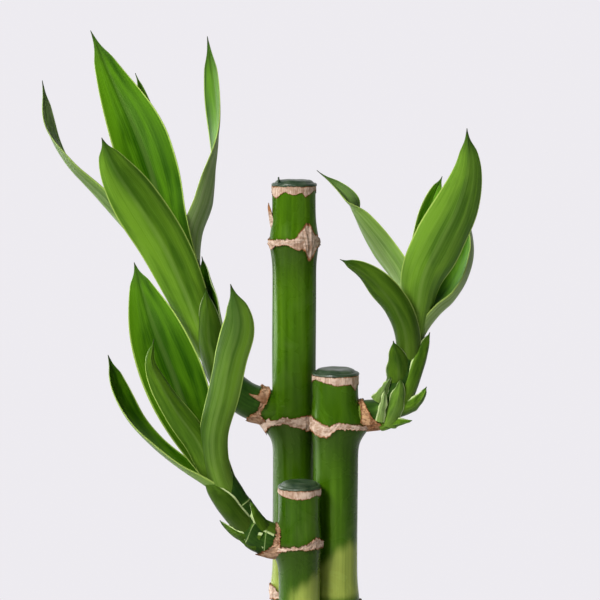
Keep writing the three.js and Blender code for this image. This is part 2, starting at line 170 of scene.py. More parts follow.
def torn(points: dict[float, float], angle: Array, fray: float, seed: int) -> Array:
    """Follow a torn edge round a full turn.

    The edge runs straight from point to point, and a fine ripple frays it.

    Args:
        points: Places of the edge, by angle in degrees.
        angle: Angles in radians.
        fray: Height of the ripple.
        seed: Picks the ripple.

    Returns:
        The edge's place at each angle.
    """
    line = np.interp(np.degrees(angle), list(points), list(points.values()), period=360)
    return line + fray * ripple(angle, seed, (7, 70), 0.3)


def crumple(w: Array, angle: Array, seed: int) -> Array:
    """Relief of a dry strip in millimetres.

    A sine across the strip whose phase wanders along it makes slanting folds; fine wrinkles are added,
    and the edges curl off in places as the cube of the distance from the middle.

    Args:
        w: Place across the strip, 0 to 1, one row each.
        angle: Place along it as an angle in radians.
        seed: Picks the folds.

    Returns:
        A height for each row and angle.
    """
    folds = np.sin(2 * np.pi * (1.6 * w + 0.9 * ripple(angle, seed, (2, 13))[None]))
    wrinkles = ripple(angle, seed + 1, (14, 60), 0.3)[None]
    curl = 0.5 + 0.5 * ripple(angle, seed + 2, (4, 17))[None]
    return FOLD * folds + WRINKLE * wrinkles + CURL * curl * np.abs(2 * w - 1) ** 3


# Meshes


@dataclass
class Patch:
    """A closed surface in millimetres: points, faces, the UV of each face's corners and point marks."""

    points: Array
    faces: list[list[int]]
    uv: Array
    marks: dict[str, Array] = field(default_factory=dict)

    def volume(self) -> float:
        """Sum of the signed tetrahedra from the middle of the points to each face's fan of triangles."""
        fans = np.array([(f[0], f[i], f[i + 1]) for f in self.faces for i in range(1, len(f) - 1)])
        a, b, c = (self.points[fans] - self.points.mean(0)).transpose(1, 0, 2)
        return float((a * np.cross(b, c)).sum() / 6)

    def turned(self) -> "Patch":
        """The same surface with its faces inside out."""
        ends = np.cumsum([len(face) for face in self.faces])
        order = np.concatenate([np.arange(end - 1, end - len(face) - 1, -1)
                                for end, face in zip(ends, self.faces)])
        return Patch(self.points, [face[::-1] for face in self.faces], self.uv[order], self.marks)


def grid_patch(rows: Array, wrap: bool = False, across: Array | None = None, **marks: Array) -> Patch:
    """Join a rows x columns x 3 array of points by quads.

    Args:
        rows: The points; v of the UV map runs with the rows and u with the columns.
        wrap: Whether the last column joins the first.
        across: u of each column edge, where the columns aren't evenly spaced.
        marks: A number for each point, by attribute name.

    Returns:
        The patch.
    """
    n, m = rows.shape[:2]
    span = m if wrap else m - 1
    across = np.linspace(0, 1, span + 1) if across is None else across
    i, j = (c.ravel() for c in np.meshgrid(np.arange(n - 1), np.arange(span), indexing="ij"))
    k = (j + 1) % m
    faces = np.stack([i * m + j, (i + 1) * m + j, (i + 1) * m + k, i * m + k], -1)
    u, v = across[np.stack([j, j, j + 1, j + 1], -1)], np.stack([i, i + 1, i + 1, i], -1) / (n - 1)
    flat = {name: np.broadcast_to(value, (n, m)).ravel() for name, value in marks.items()}
    return Patch(rows.reshape(-1, 3), faces.tolist(), np.stack([u, v], -1).reshape(-1, 2), flat)


def tube_patch(rings: Array, **marks: Array) -> Patch:
    """Close a stack of rings: quads between them and a fan over each end.

    Args:
        rings: rings x points round x 3.
        marks: A number for each point, by attribute name.

    Returns:
        The closed patch.
    """
    patch = grid_patch(rings, True, **marks)
    n, m = rings.shape[:2]
    j, last = np.arange(m), (n - 1) * m
    k, middle = (j + 1) % m, np.full(m, n * m)
    fans = np.stack([middle, j, k, middle + 1, last + k, last + j], -1)
    u = np.stack([0.5 + 0 * j, j / m, (j + 1) / m, 0.5 + 0 * j, (j + 1) / m, j / m], -1)
    v = np.broadcast_to(np.repeat([0.0, 1.0], 3), u.shape)
    patch.points = np.vstack([patch.points, rings[0].mean(0), rings[-1].mean(0)])
    patch.faces += fans.reshape(-1, 3).tolist()
    patch.uv = np.vstack([patch.uv, np.stack([u, v], -1).reshape(-1, 2)])
    for name, value in patch.marks.items():
        patch.marks[name] = np.append(value, [value[:m].mean(), value[-m:].mean()])
    return patch


def shell_patch(outer: Array, inner: Array, wrap: bool, across: Array | None = None,
                **marks: Array) -> Patch:
    """Join two sheets of the same grid into one closed thin shell.

    The outer sheet is marked 1 and the inner 0, as "under".

    Args:
        outer: rows x columns x 3 points of one face.
        inner: The same for the other face.
        wrap: Whether the last column joins the first.
        across: u of each column edge, where the columns aren't evenly spaced.
        marks: A number for each grid point, by attribute name, the same on both sheets.

    Returns:
        The closed patch.
    """
    n, m = outer.shape[:2]
    one = grid_patch(outer, wrap, across, under=np.ones((n, m)), **marks)
    two = grid_patch(inner, wrap, across, under=np.zeros((n, m)), **marks)
    rows, columns, sheet = np.arange(n), np.arange(m + 1 if wrap else m), n * m
    edges = np.linspace(0, 1, len(columns)) if across is None else across
    rims = [(columns % m, edges, 0.0), ((n - 1) * m + columns[::-1] % m, edges[::-1], 1.0)]
    if not wrap:
        rims += [(rows[::-1] * m, 0.0, rows[::-1] / (n - 1)), (rows * m + m - 1, 1.0, rows / (n - 1))]
    faces = one.faces + (np.array(two.faces)[:, ::-1] + sheet).tolist()
    uv = [one.uv, two.uv.reshape(-1, 4, 2)[:, ::-1].reshape(-1, 2)]
    for ids, u, v in rims:
        ends = np.stack(np.broadcast_arrays(u, v), -1)
        a, b, p, q = ids[:-1], ids[1:], ends[:-1], ends[1:]
        faces += np.stack([a, b, b + sheet, a + sheet], -1).tolist()
        uv.append(np.stack([p, q, q, p], 1).reshape(-1, 2))
    both = {name: np.concatenate([one.marks[name], two.marks[name]]) for name in one.marks}
    return Patch(np.vstack([one.points, two.points]), faces, np.vstack(uv), both)


def make_piece(name: str, patch: Patch, finish: Material, slot: Slot,
               replaces: tuple[str, ...], crease: float = 50.0) -> None:
    """Make a patch a mesh object that rides on the root body.

    A patch whose signed volume is negative is turned inside out, so that all faces point outwards.

    Args:
        name: The piece's name.
        patch: Its surface.
        finish: Its material.
        slot: The record's slot for its finish; not used.
        replaces: The CAD nodes that it stands for.
        crease: Angle in degrees above which an edge is shaded sharp.
    """
    patch = patch.turned() if patch.volume() < 0 else patch
    mesh = bpy.data.meshes.new(name)
    mesh.from_pydata((patch.points * MM).tolist(), [], patch.faces)
    layer = mesh.uv_layers.new(name="UVMap")
    layer.data.foreach_set("uv", patch.uv.astype(np.float32).ravel())
    for key, values in patch.marks.items():
        attribute = mesh.attributes.new(key, "FLOAT", "POINT")
        attribute.data.foreach_set("value", values.astype(np.float32))
    mesh.polygons.foreach_set("use_smooth", np.ones(len(patch.faces), bool))
    mesh.set_sharp_from_angle(angle=math.radians(crease))
    mesh.materials.append(finish)
    mesh.update()
    piece = bpy.data.objects.new(name, mesh)
    bpy.context.scene.collection.objects.link(piece)
    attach(piece, "root")
    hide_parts(*replaces)
    LOG.info("%s: %d faces", name, len(patch.faces))


# Finishes


class Nodes:
    """A node tree under construction, with short calls for the nodes that its users share."""

    def __init__(self, owner: Material | bpy.types.World) -> None:
        """Start with the nodes that Blender puts in place."""
        owner.use_nodes = True
        self.tree = owner.node_tree

    def find(self, kind: str) -> bpy.types.Node:
        """The first node of a type."""
        return next(n for n in self.tree.nodes if n.type == kind)

    def node(self, kind: str, inputs: dict | None = None, **settings: object) -> bpy.types.Node:
        """Add a node.

        Args:
            kind: The node's type name.
            inputs: Values or sockets by input name or number.
            settings: The node's own properties.

        Returns:
            The node.
        """
        made = self.tree.nodes.new(kind)
        for key, value in settings.items():
            setattr(made, key, value)
        for key, value in (inputs or {}).items():
            self.feed(made.inputs[key], value)
        return made

    def feed(self, socket: Socket, value: object) -> None:
        """Link a socket, or set its value.

        Args:
            socket: The input.
            value: A socket to link to it, or a number, colour or vector.
        """
        if isinstance(value, Socket):
            self.tree.links.new(value, socket)
        elif isinstance(value, tuple) and len(value) == 3 and socket.type == "RGBA":
            socket.default_value = (*value, 1)
        else:
            socket.default_value = value

    def place(self, scale: Point = (1, 1, 1)) -> Socket:
        """Object coordinates, scaled."""
        source = self.node("ShaderNodeTexCoord").outputs["Object"]
        return self.node("ShaderNodeMapping", {"Vector": source, "Scale": scale}).outputs[0]

    def surface(self, scale: Point = (1, 1, 1), offset: Point = (0, 0, 0)) -> Socket:
        """The piece's own UV map, scaled and moved."""
        source = self.node("ShaderNodeUVMap", uv_map="UVMap").outputs[0]
        inputs = {"Vector": source, "Location": offset, "Scale": scale}
        return self.node("ShaderNodeMapping", inputs).outputs[0]

    def split(self, vector: Socket) -> tuple[Socket, ...]:
        """The three numbers of a vector."""
        return tuple(self.node("ShaderNodeSeparateXYZ", {0: vector}).outputs)

    def mark(self, name: str) -> Socket:
        """A number stored on the mesh."""
        return self.node("ShaderNodeAttribute", attribute_name=name).outputs["Fac"]

    def noise(self, vector: Socket, scale: float, detail: float = 3.0, distortion: float = 0.0) -> Socket:
        """Cloudy noise from 0 to 1."""
        inputs = {"Vector": vector, "Scale": scale, "Detail": detail, "Distortion": distortion}
        return self.node("ShaderNodeTexNoise", inputs).outputs["Fac"]

    def math(self, operation: str, a: object, b: object = 0.0) -> Socket:
        """One sum."""
        return self.node("ShaderNodeMath", {0: a, 1: b}, operation=operation).outputs[0]

    def times(self, a: object, b: object) -> Socket:
        """Product of two numbers."""
        return self.math("MULTIPLY", a, b)

    def weigh(self, a: object, share: float, b: object, other: float) -> Socket:
        """Weighted sum of two numbers."""
        return self.math("ADD", self.times(a, share), self.times(b, other))

    def sway(self, value: object, noise: object, amount: float) -> Socket:
        """Push a number up and down by how far a noise is from one half."""
        return self.math("ADD", value, self.times(self.math("SUBTRACT", noise, 0.5), amount))

    def span(self, value: Socket, low: float, high: float, to_low: float = 0.0,
             to_high: float = 1.0) -> Socket:
        """Map low..high smoothly to to_low..to_high, clamped."""
        inputs = {"Value": value, "From Min": low, "From Max": high, "To Min": to_low, "To Max": to_high}
        return self.node("ShaderNodeMapRange", inputs, interpolation_type="SMOOTHSTEP").outputs[0]

    def ramp(self, value: Socket, stops: list[tuple[float, Colour]]) -> Socket:
        """Colour by value.

        Args:
            value: The number to look up.
            stops: Each place on the ramp, from 0 to 1, and its colour.

        Returns:
            The colour.
        """
        made = self.node("ShaderNodeValToRGB", {0: value})
        elements = made.color_ramp.elements
        for index, (at, colour) in enumerate(stops):
            element = elements[index] if index < 2 else elements.new(at)
            element.position = at
            element.color = (*colour, 1)
        return made.outputs[0]

    def mix(self, share: object, a: object, b: object, how: str = "MIX") -> Socket:
        """Mix two colours.

        Args:
            share: How much of b shows.
            a: The first colour.
            b: The second.
            how: The blend's name.

        Returns:
            The mixed colour.
        """
        made = self.node("ShaderNodeMix", data_type="RGBA", blend_type=how)
        self.feed(made.inputs[0], share)
        self.feed(made.inputs[6], a)
        self.feed(made.inputs[7], b)
        return made.outputs[2]

    def bump(self, height: Socket, strength: float, distance: float) -> Socket:
        """Turn a height into a bumped normal; a height of 1 stands for distance, in millimetres."""
        inputs = {"Height": height, "Strength": strength, "Distance": distance * MM}
        return self.node("ShaderNodeBump", inputs).outputs[0]


class Recipe(Nodes):
    """A material under construction."""

    def __init__(self, name: str) -> None:
        """Start a material with its shader and output in place."""
        self.material = bpy.data.materials.new(name)
        super().__init__(self.material)
        self.shader = self.find("BSDF_PRINCIPLED")

    def finish(self, colour: Socket, roughness: object, normal: Socket, **shader: object) -> Material:
        """Wire colour, roughness and normal to the shader and set its other sockets.

        Args:
            colour: The base colour.
            roughness: A number or socket.
            normal: The bumped normal.
            shader: Other shader inputs, with underscores for spaces.

        Returns:
            The material.
        """
        self.feed(self.shader.inputs["Base Color"], colour)
        self.feed(self.shader.inputs["Roughness"], roughness)
        self.feed(self.shader.inputs["Normal"], normal)
        for key, value in shader.items():
            self.feed(self.shader.inputs[key.replace("_", " ")], value)
        return self.material


@dataclass(frozen=True)
class LeafFinish:
    """Living leaf: parallel veins, a pale margin, a faint midrib stripe and a dark dry tip.

    light scales the green as painted light and shade, by how brightly the leaf is lit. lean paints one
    side lighter and the other darker, as painted shade. bloom and upper_bloom_and_sheen mix a pale tone
    into the outer and the hollow face that is partly dust and partly painted sheen. rim is where the
    margin starts, as a share of the width.
    """

    name: str
    seed: float = 0.0
    light: float = 1.0
    painted_side_light: float = 0.0
    bloom: float = 0.04
    upper_bloom_and_sheen: float = 0.0
    rim: float = 0.468
    margin: Colour = GREEN_RIM
    upper_dark: Colour = (0.014, 0.07, 0.0006)
    upper_pale: Colour = (0.085, 0.235, 0.004)
    under_dark: Colour = (0.034, 0.1, 0.002)
    under_pale: Colour = (0.12, 0.255, 0.011)
    dust_and_sheen: Colour = (0.32, 0.4, 0.19)
    midrib: Colour = (0.17, 0.27, 0.06)
    sheath: Colour = (0.19, 0.32, 0.035)
    fading: Colour = (0.022, 0.06, 0.008)
    tip: Colour = (0.016, 0.022, 0.008)

    def build(self) -> Material:
        """Make the material."""
        r = Recipe(self.name)
        u, v, _ = r.split(r.surface())
        side = r.math("ABSOLUTE", r.math("SUBTRACT", u, 0.5))
        fine = r.noise(r.surface((60, 1.3, 1), (self.seed, self.seed, 0)), 1.0, 4.0)
        broad = r.noise(r.surface((10, 1.0, 1), (self.seed * 2, 0, 0)), 1.0, 2.0, 0.3)
        cloud = r.noise(r.surface((3.2, 2.6, 1), (0, self.seed, 0)), 1.0, 3.0, 0.6)
        streak = r.weigh(fine, 0.55, broad, 0.45)
        tone = r.weigh(streak, 0.34, cloud, 0.66)
        # painted light and shade: lean makes one side of the blade lighter and the other darker
        tone = r.math("ADD", tone, r.times(r.math("SUBTRACT", 0.5, u), self.painted_side_light))
        upper = r.ramp(tone, [(0.39, self.upper_dark), (0.61, self.upper_pale)])
        under = r.ramp(tone, [(0.38, self.under_dark), (0.62, self.under_pale)])
        # a pale dusty tone, partly dust and partly painted sheen, on the outer and the hollow face
        dust_and_sheen_share = r.span(streak, 0.38, 0.62, 0.35, 1.0)
        upper = r.mix(r.times(dust_and_sheen_share, self.upper_bloom_and_sheen), upper, self.dust_and_sheen)
        under = r.mix(r.times(dust_and_sheen_share, self.bloom), under, self.dust_and_sheen)
        colour = r.mix(r.mark("under"), upper, under)
        rib = r.times(r.span(side, 0.01, 0.07, 1.0, 0.0), r.span(v, 0.15, 0.95, 0.4, 0.12))
        colour = r.mix(rib, colour, self.midrib)
        root = r.times(r.span(v, 0.02, 0.34, 0.55, 0.0), r.span(fine, 0.3, 0.7, 0.5, 1.0))
        colour = r.mix(root, colour, self.sheath)
        edge = r.sway(side, cloud, 0.012)
        # painted light and shade: light scales each leaf's green by how brightly it is lit
        colour = r.mix(1.0, colour, (self.light, self.light, self.light), "MULTIPLY")
        colour = r.mix(r.span(edge, self.rim, self.rim + 0.022, 0.0, 0.9), colour, self.margin)
        dry = r.sway(v, fine, 0.04)
        colour = r.mix(r.span(dry, 0.86, 0.975, 0.0, 0.75), colour, self.fading)
        colour = r.mix(r.span(dry, 0.965, 0.99, 0.0, 0.95), colour, self.tip)
        rough = r.span(cloud, 0.3, 0.7, 0.36, 0.48)
        height = r.weigh(fine, 0.7, broad, 0.9)
        return r.finish(colour, rough, r.bump(height, 0.4, 0.4), Specular_IOR_Level=0.3,
                        Specular_Tint=(0.5, 1.0, 0.12, 1.0))


@dataclass(frozen=True)
class StemFinish:
    """Sheathed shoot stem: smooth green with pale scar lines across it."""

    name: str
    dark: Colour = (0.007, 0.027, 0.005)
    pale: Colour = (0.027, 0.068, 0.009)
    line: Colour = (0.36, 0.46, 0.17)

    def build(self) -> Material:
        """Make the material."""
        r = Recipe(self.name)
        cloud = r.noise(r.place(), 260.0, 3.0, 0.4)
        fine = r.noise(r.surface((60, 3, 1)), 1.0, 3.0)
        tone = r.weigh(cloud, 0.6, fine, 0.4)
        colour = r.ramp(tone, [(0.36, self.dark), (0.64, self.pale)])
        colour = r.mix(r.times(r.span(r.mark("scar"), 0.45, 0.9), 0.8), colour, self.line)
        return r.finish(colour, r.span(cloud, 0.3, 0.7, 0.34, 0.48), r.bump(fine, 0.25, 0.3),
                        Specular_IOR_Level=0.3, Specular_Tint=(0.5, 1.0, 0.12, 1.0))


@dataclass(frozen=True)
class CaneFinish:
    """Waxy green cane: lengthwise streaks, cloudy bloom, pale growth near the foot and fine scratches."""

    name: str
    dark: Colour = (0.022, 0.07, 0.0008)
    middle: Colour = (0.05, 0.13, 0.002)
    pale: Colour = (0.095, 0.205, 0.008)
    fresh: Colour = (0.35, 0.42, 0.08)
    bloom: Colour = (0.13, 0.2, 0.05)
    scratched: Colour = (0.22, 0.28, 0.1)
    shaded: Colour = (0.014, 0.032, 0.003)
    stained: Colour = (0.05, 0.045, 0.012)

    def build(self) -> Material:
        """Make the material."""
        r = Recipe(self.name)
        streak = r.noise(r.place((900, 900, 22)), 1.0, 4.0, 0.2)
        broad = r.noise(r.place((160, 160, 18)), 1.0, 3.0, 0.6)
        cloud = r.noise(r.place(), 95.0, 3.0, 0.8)
        tone = r.weigh(streak, 0.34, broad, 0.66)
        colour = r.ramp(tone, [(0.3, self.dark), (0.52, self.middle), (0.74, self.pale)])
        patchy = r.span(r.math("ADD", broad, r.times(streak, 0.4)), 0.5, 0.8, 0.55, 1.0)
        fresh = r.times(r.mark("fresh"), patchy)
        colour = r.mix(fresh, colour, self.fresh)
        colour = r.mix(r.span(cloud, 0.5, 0.8, 0.0, 0.22), colour, self.bloom)
        scratch = r.noise(r.place((260, 260, 2600)), 1.0, 2.0, 0.1)
        marks = r.times(r.span(scratch, 0.7, 0.8), r.span(cloud, 0.42, 0.6))
        colour = r.mix(r.times(marks, 0.3), colour, self.scratched)
        # painted shade: the shaft is darkened just below each node
        colour = r.mix(r.times(r.mark("shade"), 0.75), colour, self.shaded)
        colour = r.mix(r.times(r.mark("scar"), 0.8), colour, self.stained)
        rough = r.span(cloud, 0.3, 0.7, 0.2, 0.35)
        height = r.math("SUBTRACT", r.times(streak, 0.8), r.times(marks, 0.7))
        return r.finish(colour, rough, r.bump(height, 0.42, 0.35), Specular_IOR_Level=0.4,
                        Specular_Tint=(0.62, 1.0, 0.28, 1.0))


@dataclass(frozen=True)
class PaperFinish:
    """Dry torn leaf base: tan fibres, darker and browner towards the torn edges.

    grain holds how finely the fibres vary along each axis; they run along the axis with the least.
    """

    name: str
    grain: Point = (2400, 2400, 260)
    brown: float = 0.6
    pale: Colour = (0.6, 0.455, 0.36)
    middle: Colour = (0.33, 0.205, 0.135)
    dark: Colour = (0.07, 0.028, 0.011)
    edge: Colour = (0.27, 0.11, 0.035)

    def build(self) -> Material:
        """Make the material."""
        r = Recipe(self.name)
        fibre = r.noise(r.place(self.grain), 1.0, 4.0, 0.4)
        cloud = r.noise(r.place(), 420.0, 4.0, 0.6)
        tone = r.weigh(fibre, 0.55, cloud, 0.45)
        colour = r.ramp(tone, [(0.4, self.middle), (0.56, self.pale)])
        patch = r.noise(r.place(), 150.0, 3.0, 0.5)
        colour = r.mix(r.span(patch, 0.5, 0.68, 0.0, self.brown), colour, self.middle)
        worn = r.sway(r.mark("edge"), cloud, 1.0)
        colour = r.mix(r.span(worn, 0.58, 0.86, 0.0, 1.0), colour, self.edge)
        colour = r.mix(r.span(worn, 0.84, 1.06, 0.0, 0.9), colour, self.dark)
        return r.finish(colour, r.span(cloud, 0.3, 0.7, 0.6, 0.85), r.bump(tone, 0.65, 0.4),
                        Specular_IOR_Level=0.2)


@dataclass(frozen=True)
class WaxFinish:
    """Sealing wax over a cut end: dark translucent green, glossy and uneven."""

    name: str
    deep: Colour = (0.012, 0.032, 0.014)
    thin: Colour = (0.05, 0.08, 0.04)

    def build(self) -> Material:
        """Make the material."""
        r = Recipe(self.name)
        cloud = r.noise(r.place(), 330.0, 3.0, 0.5)
        grain = r.noise(r.place(), 1400.0, 3.0)
        colour = r.ramp(cloud, [(0.35, self.deep), (0.7, self.thin)])
        height = r.math("ADD", cloud, r.times(grain, 0.25))
        return r.finish(colour, r.span(cloud, 0.3, 0.7, 0.3, 0.5), r.bump(height, 0.5, 0.5),
                        Specular_IOR_Level=0.4)


@dataclass(frozen=True)
class GlazeFinish:
    """Satin off-white glaze with a faint flow and sparse fine specks."""

    name: str
    body: Colour = (0.74, 0.73, 0.7)
    warm: Colour = (0.66, 0.64, 0.59)
    speck: Colour = (0.33, 0.28, 0.22)

    def build(self) -> Material:
        """Make the material."""
        r = Recipe(self.name)
        flow = r.noise(r.place((30, 30, 14)), 1.0, 3.0, 0.5)
        colour = r.mix(r.span(flow, 0.35, 0.7), self.body, self.warm)
        dots = r.node("ShaderNodeTexVoronoi", {"Vector": r.place(), "Scale": 420.0}).outputs["Distance"]
        sparse = r.noise(r.place(), 190.0, 2.0)
        speck = r.times(r.span(dots, 0.08, 0.16, 1.0, 0.0), r.span(sparse, 0.58, 0.66))
        colour = r.mix(r.times(speck, 0.7), colour, self.speck)
        fine = r.noise(r.place(), 700.0, 2.0)
        height = r.math("ADD", flow, r.times(fine, 0.08))
        return r.finish(colour, r.span(flow, 0.3, 0.7, 0.26, 0.36), r.bump(height, 0.12, 0.5),
                        Coat_Weight=0.4, Coat_Roughness=0.12)


@dataclass(frozen=True)
class SoilFinish:
    """Peaty potting soil: dark crumbs with paler fibres."""

    name: str
    dark: Colour = (0.018, 0.011, 0.006)
    pale: Colour = (0.1, 0.06, 0.032)

    def build(self) -> Material:
        """Make the material."""
        r = Recipe(self.name)
        crumb = r.noise(r.place(), 620.0, 5.0, 0.3)
        lump = r.noise(r.place(), 170.0, 3.0)
        tone = r.weigh(crumb, 0.6, lump, 0.4)
        colour = r.ramp(tone, [(0.36, self.dark), (0.7, self.pale)])
        return r.finish(colour, r.span(crumb, 0.3, 0.7, 0.8, 0.98), r.bump(tone, 0.9, 0.9),
                        Specular_IOR_Level=0.25)


# Leaves and stems


@dataclass
class Blade:
    """One leaf or scale: a thin shell carried along its midrib.

    Sizes are in millimetres and angles in degrees. At 0 degrees of turn the hollow upper face looks
    towards -Y on a rib that rises. width holds the half-widths at the root and at the widest place,
    which place gives along the rib, and beyond it the blade narrows by the power sharp. clasp and
    trough are how far each half of a cross-section bends at the root and from open onwards. wave and
    channel are the heights of the margins' ripples and of the ridge under the midrib, ripples how many
    of a slow and a quick kind there are, and needle is the least half-width before the tip.
    """

    name: str
    rib: list[Point]
    width: tuple[float, float]
    turn: list[float]
    place: float = 0.4
    sharp: float = 1.6
    clasp: float = 100.0
    trough: float = 60.0
    open: float = 0.9
    # light, lean: painted light and shade; bloom, upper_bloom_and_sheen: partly dust and partly painted
    # sheen
    light: float = 1.0
    painted_side_light: float = 0.0
    bloom: float = 0.04
    upper_bloom_and_sheen: float = 0.0
    wave: float = 0.22
    channel: float = 0.3
    thick: float = 0.5
    small: bool = False
    ripples: tuple[float, float] = (2.3, 3.7)
    channel_width: float = 0.16
    needle: float = 0.22

    def rim(self) -> float:
        """Where the pale margin starts, from the midrib, as a share of the width."""
        margin = 0.3 if self.small else 0.2
        return 0.489 - margin / self.width[1]

    def half_width(self, t: Array) -> Array:
        """Half-width measured round the curve of the blade.

        From the root to the widest place it grows on the square of a sine, then it falls as 1 minus
        a power, and the last tenth is drawn in to a needle.

        Args:
            t: Places along the midrib.

        Returns:
            Half-widths.
        """
        root, widest = self.width
        rise = np.sin(np.pi / 2 * np.clip(t / self.place, 0, 1)) ** 2
        fall = np.clip((t - self.place) / (1 - self.place), 0, 1) ** self.sharp
        half = np.where(t < self.place, root + (widest - root) * rise, widest * (1 - fall))
        drawn_in = half * (1 - 0.45 * smooth(t, 0.9, 0.97))
        return np.maximum(drawn_in, self.needle - 0.14 * smooth(t, 0.96, 1.0))

    def surface(self, t: Array, s: Array) -> tuple[Array, Array]:
        """The blade's middle surface and its outward normal.

        A cross-section is an arc of radius half-width over wrap, so it closes round the stem at the
        root and opens outwards; the margins ripple as a sine along the leaf.

        Args:
            t: Places along the midrib, 0 to 1.
            s: Places across, -1 to 1.

        Returns:
            Points and normals, len(t) x len(s) x 3.
        """
        middle = along(self.rib, t)
        tangent = heading(self.rib, t)
        flat = unit(np.cross([0.0, 1.0, 0.0], tangent))
        turn = np.radians(along(self.turn, t))
        side = np.cos(turn) * flat + np.sin(turn) * np.cross(tangent, flat)
        hollow = np.cross(side, tangent)
        opening = np.clip(1 - t / self.open, 0, 1) ** 1.5
        wrap = np.radians(self.trough + (self.clasp - self.trough) * opening)
        angle = s[None] * wrap[:, None]
        bend = (self.half_width(t) / wrap)[:, None, None]
        across, up = side[:, None], hollow[:, None]
        sine, cosine = np.sin(angle)[..., None], np.cos(angle)[..., None]
        out = sine * across - cosine * up
        points = middle[:, None] + bend * sine * across + bend * (1 - cosine) * up
        phase = sum(ord(letter) for letter in self.name)
        slow, quick = (np.sin(2 * np.pi * count * t + phase) for count in self.ripples)
        ripples = slow[:, None] * s[None] + 0.5 * quick[:, None]
        spread = smooth(t, 0.2, 0.45) * (1 - smooth(t, 0.9, 1.0))
        lift = self.wave * ripples * (s[None] ** 2) * spread[:, None]
        channel = self.channel * bell(s, self.channel_width)[None] * spread[:, None]
        return points + (lift + channel)[..., None] * out, out

    def patch(self) -> Patch:
        """Close the blade: thickest along the midrib, thin at the margins and the tip."""
        rows, columns = (25, 17) if self.small else (73, 25)
        t = np.linspace(0, 1, rows) ** 0.96
        s = np.sin(np.linspace(-np.pi / 2, np.pi / 2, columns))
        points, out = self.surface(t, s)
        thin = (1 - 0.55 * np.abs(s[None]) ** 3) * (1 - 0.5 * smooth(t, 0.8, 1.0)[:, None])
        off = (self.thick / 2 * thin)[..., None] * out
        return shell_patch(points + off, points - off, False, (s + 1) / 2)

    def finish(self, name: str, seed: float, margin: Colour) -> Material:
        """Its material, in the blade's own tones, with its painted light, shade and sheen."""
        return LeafFinish(name, seed, self.light, self.painted_side_light, self.bloom, self.upper_bloom_and_sheen, self.rim(),
                          margin).build()


@dataclass
class Stem:
    """A shoot's stem in overlapping sheaths: circles of changing radius along an axis.

    rims are the places along the axis where a sheath ends, and slant is how much further along the
    axis each rim lies on the stem's upper side than at its flank. The cane's skin reaches to foot,
    standing off by heel_proud, and fresh is how pale it is there. A sheath swells by swell over the
    stretch sheath and falls off within step at a rim that strays by wander, with a pale line as broad as
    line.
    """

    axis: list[Point]
    radius: list[float]
    rims: tuple[float, ...] = ()
    foot: float = 0.14
    slant: float = 0.055
    swell: float = 0.4
    fresh: float = 0.0
    sheath: float = 0.16
    step: float = 0.009
    line: float = 0.0055
    wander: float = 0.006
    heel_proud: float = 0.1

    def ring(self, t: Array, angle: Array, lift: Array | float = 0.0) -> Array:
        """Points round the stem.

        Args:
            t: Places along the axis, as a column or a full grid.
            angle: Angles round it in radians, one for each column.
            lift: How far to stand off the skin.

        Returns:
            rows x columns x 3 points.
        """
        shape = np.broadcast_shapes(t.shape, angle.shape)
        t, turn, lift = (np.broadcast_to(a, shape).reshape(-1, 1) for a in (t, angle, lift))
        tangent = heading(self.axis, t[:, 0])
        across = unit(np.cross([0.0, 1.0, 0.0], tangent))
        up = np.cross(tangent, across)
        reach = along(self.radius, t[:, 0]) + lift
        points = along(self.axis, t[:, 0]) + reach * (np.cos(turn) * across + np.sin(turn) * up)
        return points.reshape(*shape, 3)

    def heel(self) -> Patch:
        """The cane's own skin that runs out over the stem's foot, up to its scar."""
        t = np.linspace(0, self.foot, 16)[:, None]
        points = self.ring(t, full_turn(ROUND), self.heel_proud)
        plain = np.zeros(points.shape[:2])
        return tube_patch(points, fresh=plain + self.fresh, scar=plain, shade=plain)

    def patch(self) -> Patch:
        """The closed stem.

        Each sheath swells slowly towards its slanted rim and then drops to nothing in a short step,
        and the rim is marked for its pale line.
        """
        t = np.linspace(0, 1, 241)[:, None]
        angle = full_turn(ROUND)
        scar = lift = np.zeros((len(t), ROUND))
        for index, at in enumerate(self.rims):
            wander = self.wander * ripple(angle, 61 + index, (2, 6))
            past = t - at - (self.slant * np.cos(angle + 0.3 * index) + wander)
            scar = np.maximum(scar, bell(past + 0.003, self.line))
            grown = self.swell * smooth(past, -self.sheath, -0.002)
            lift = lift + grown * (1 - smooth(past, 0.0, self.step))
        return tube_patch(self.ring(t, angle, lift), scar=scar)


# Dry strips


@dataclass
class Ring:
    """Dry ring at a node of a cane, torn along both edges.

    low and high hold the heights of its edges by angle, least is its least breadth and half is half its
    thickness. Angles are seen from above, 270 towards the viewer.
    """

    name: str
    low: dict[float, float]
    high: dict[float, float]
    seed: int
    fray: float = 0.3
    proud: float = RING_PROUD
    least: float = 0.25
    half: float = 0.12

    def between(self, angle: Array, w: Array) -> Array:
        """Places from the lower edge to the upper.

        Args:
            angle: Angles in radians, one for each column.
            w: Place across the strip, 0 to 1, one row each.

        Returns:
            A place for each row and angle.
        """
        low = torn(self.low, angle, self.fray, self.seed)
        high = np.maximum(torn(self.high, angle, self.fray, self.seed + 1), low + self.least)
        return low[None] + (high - low)[None] * w


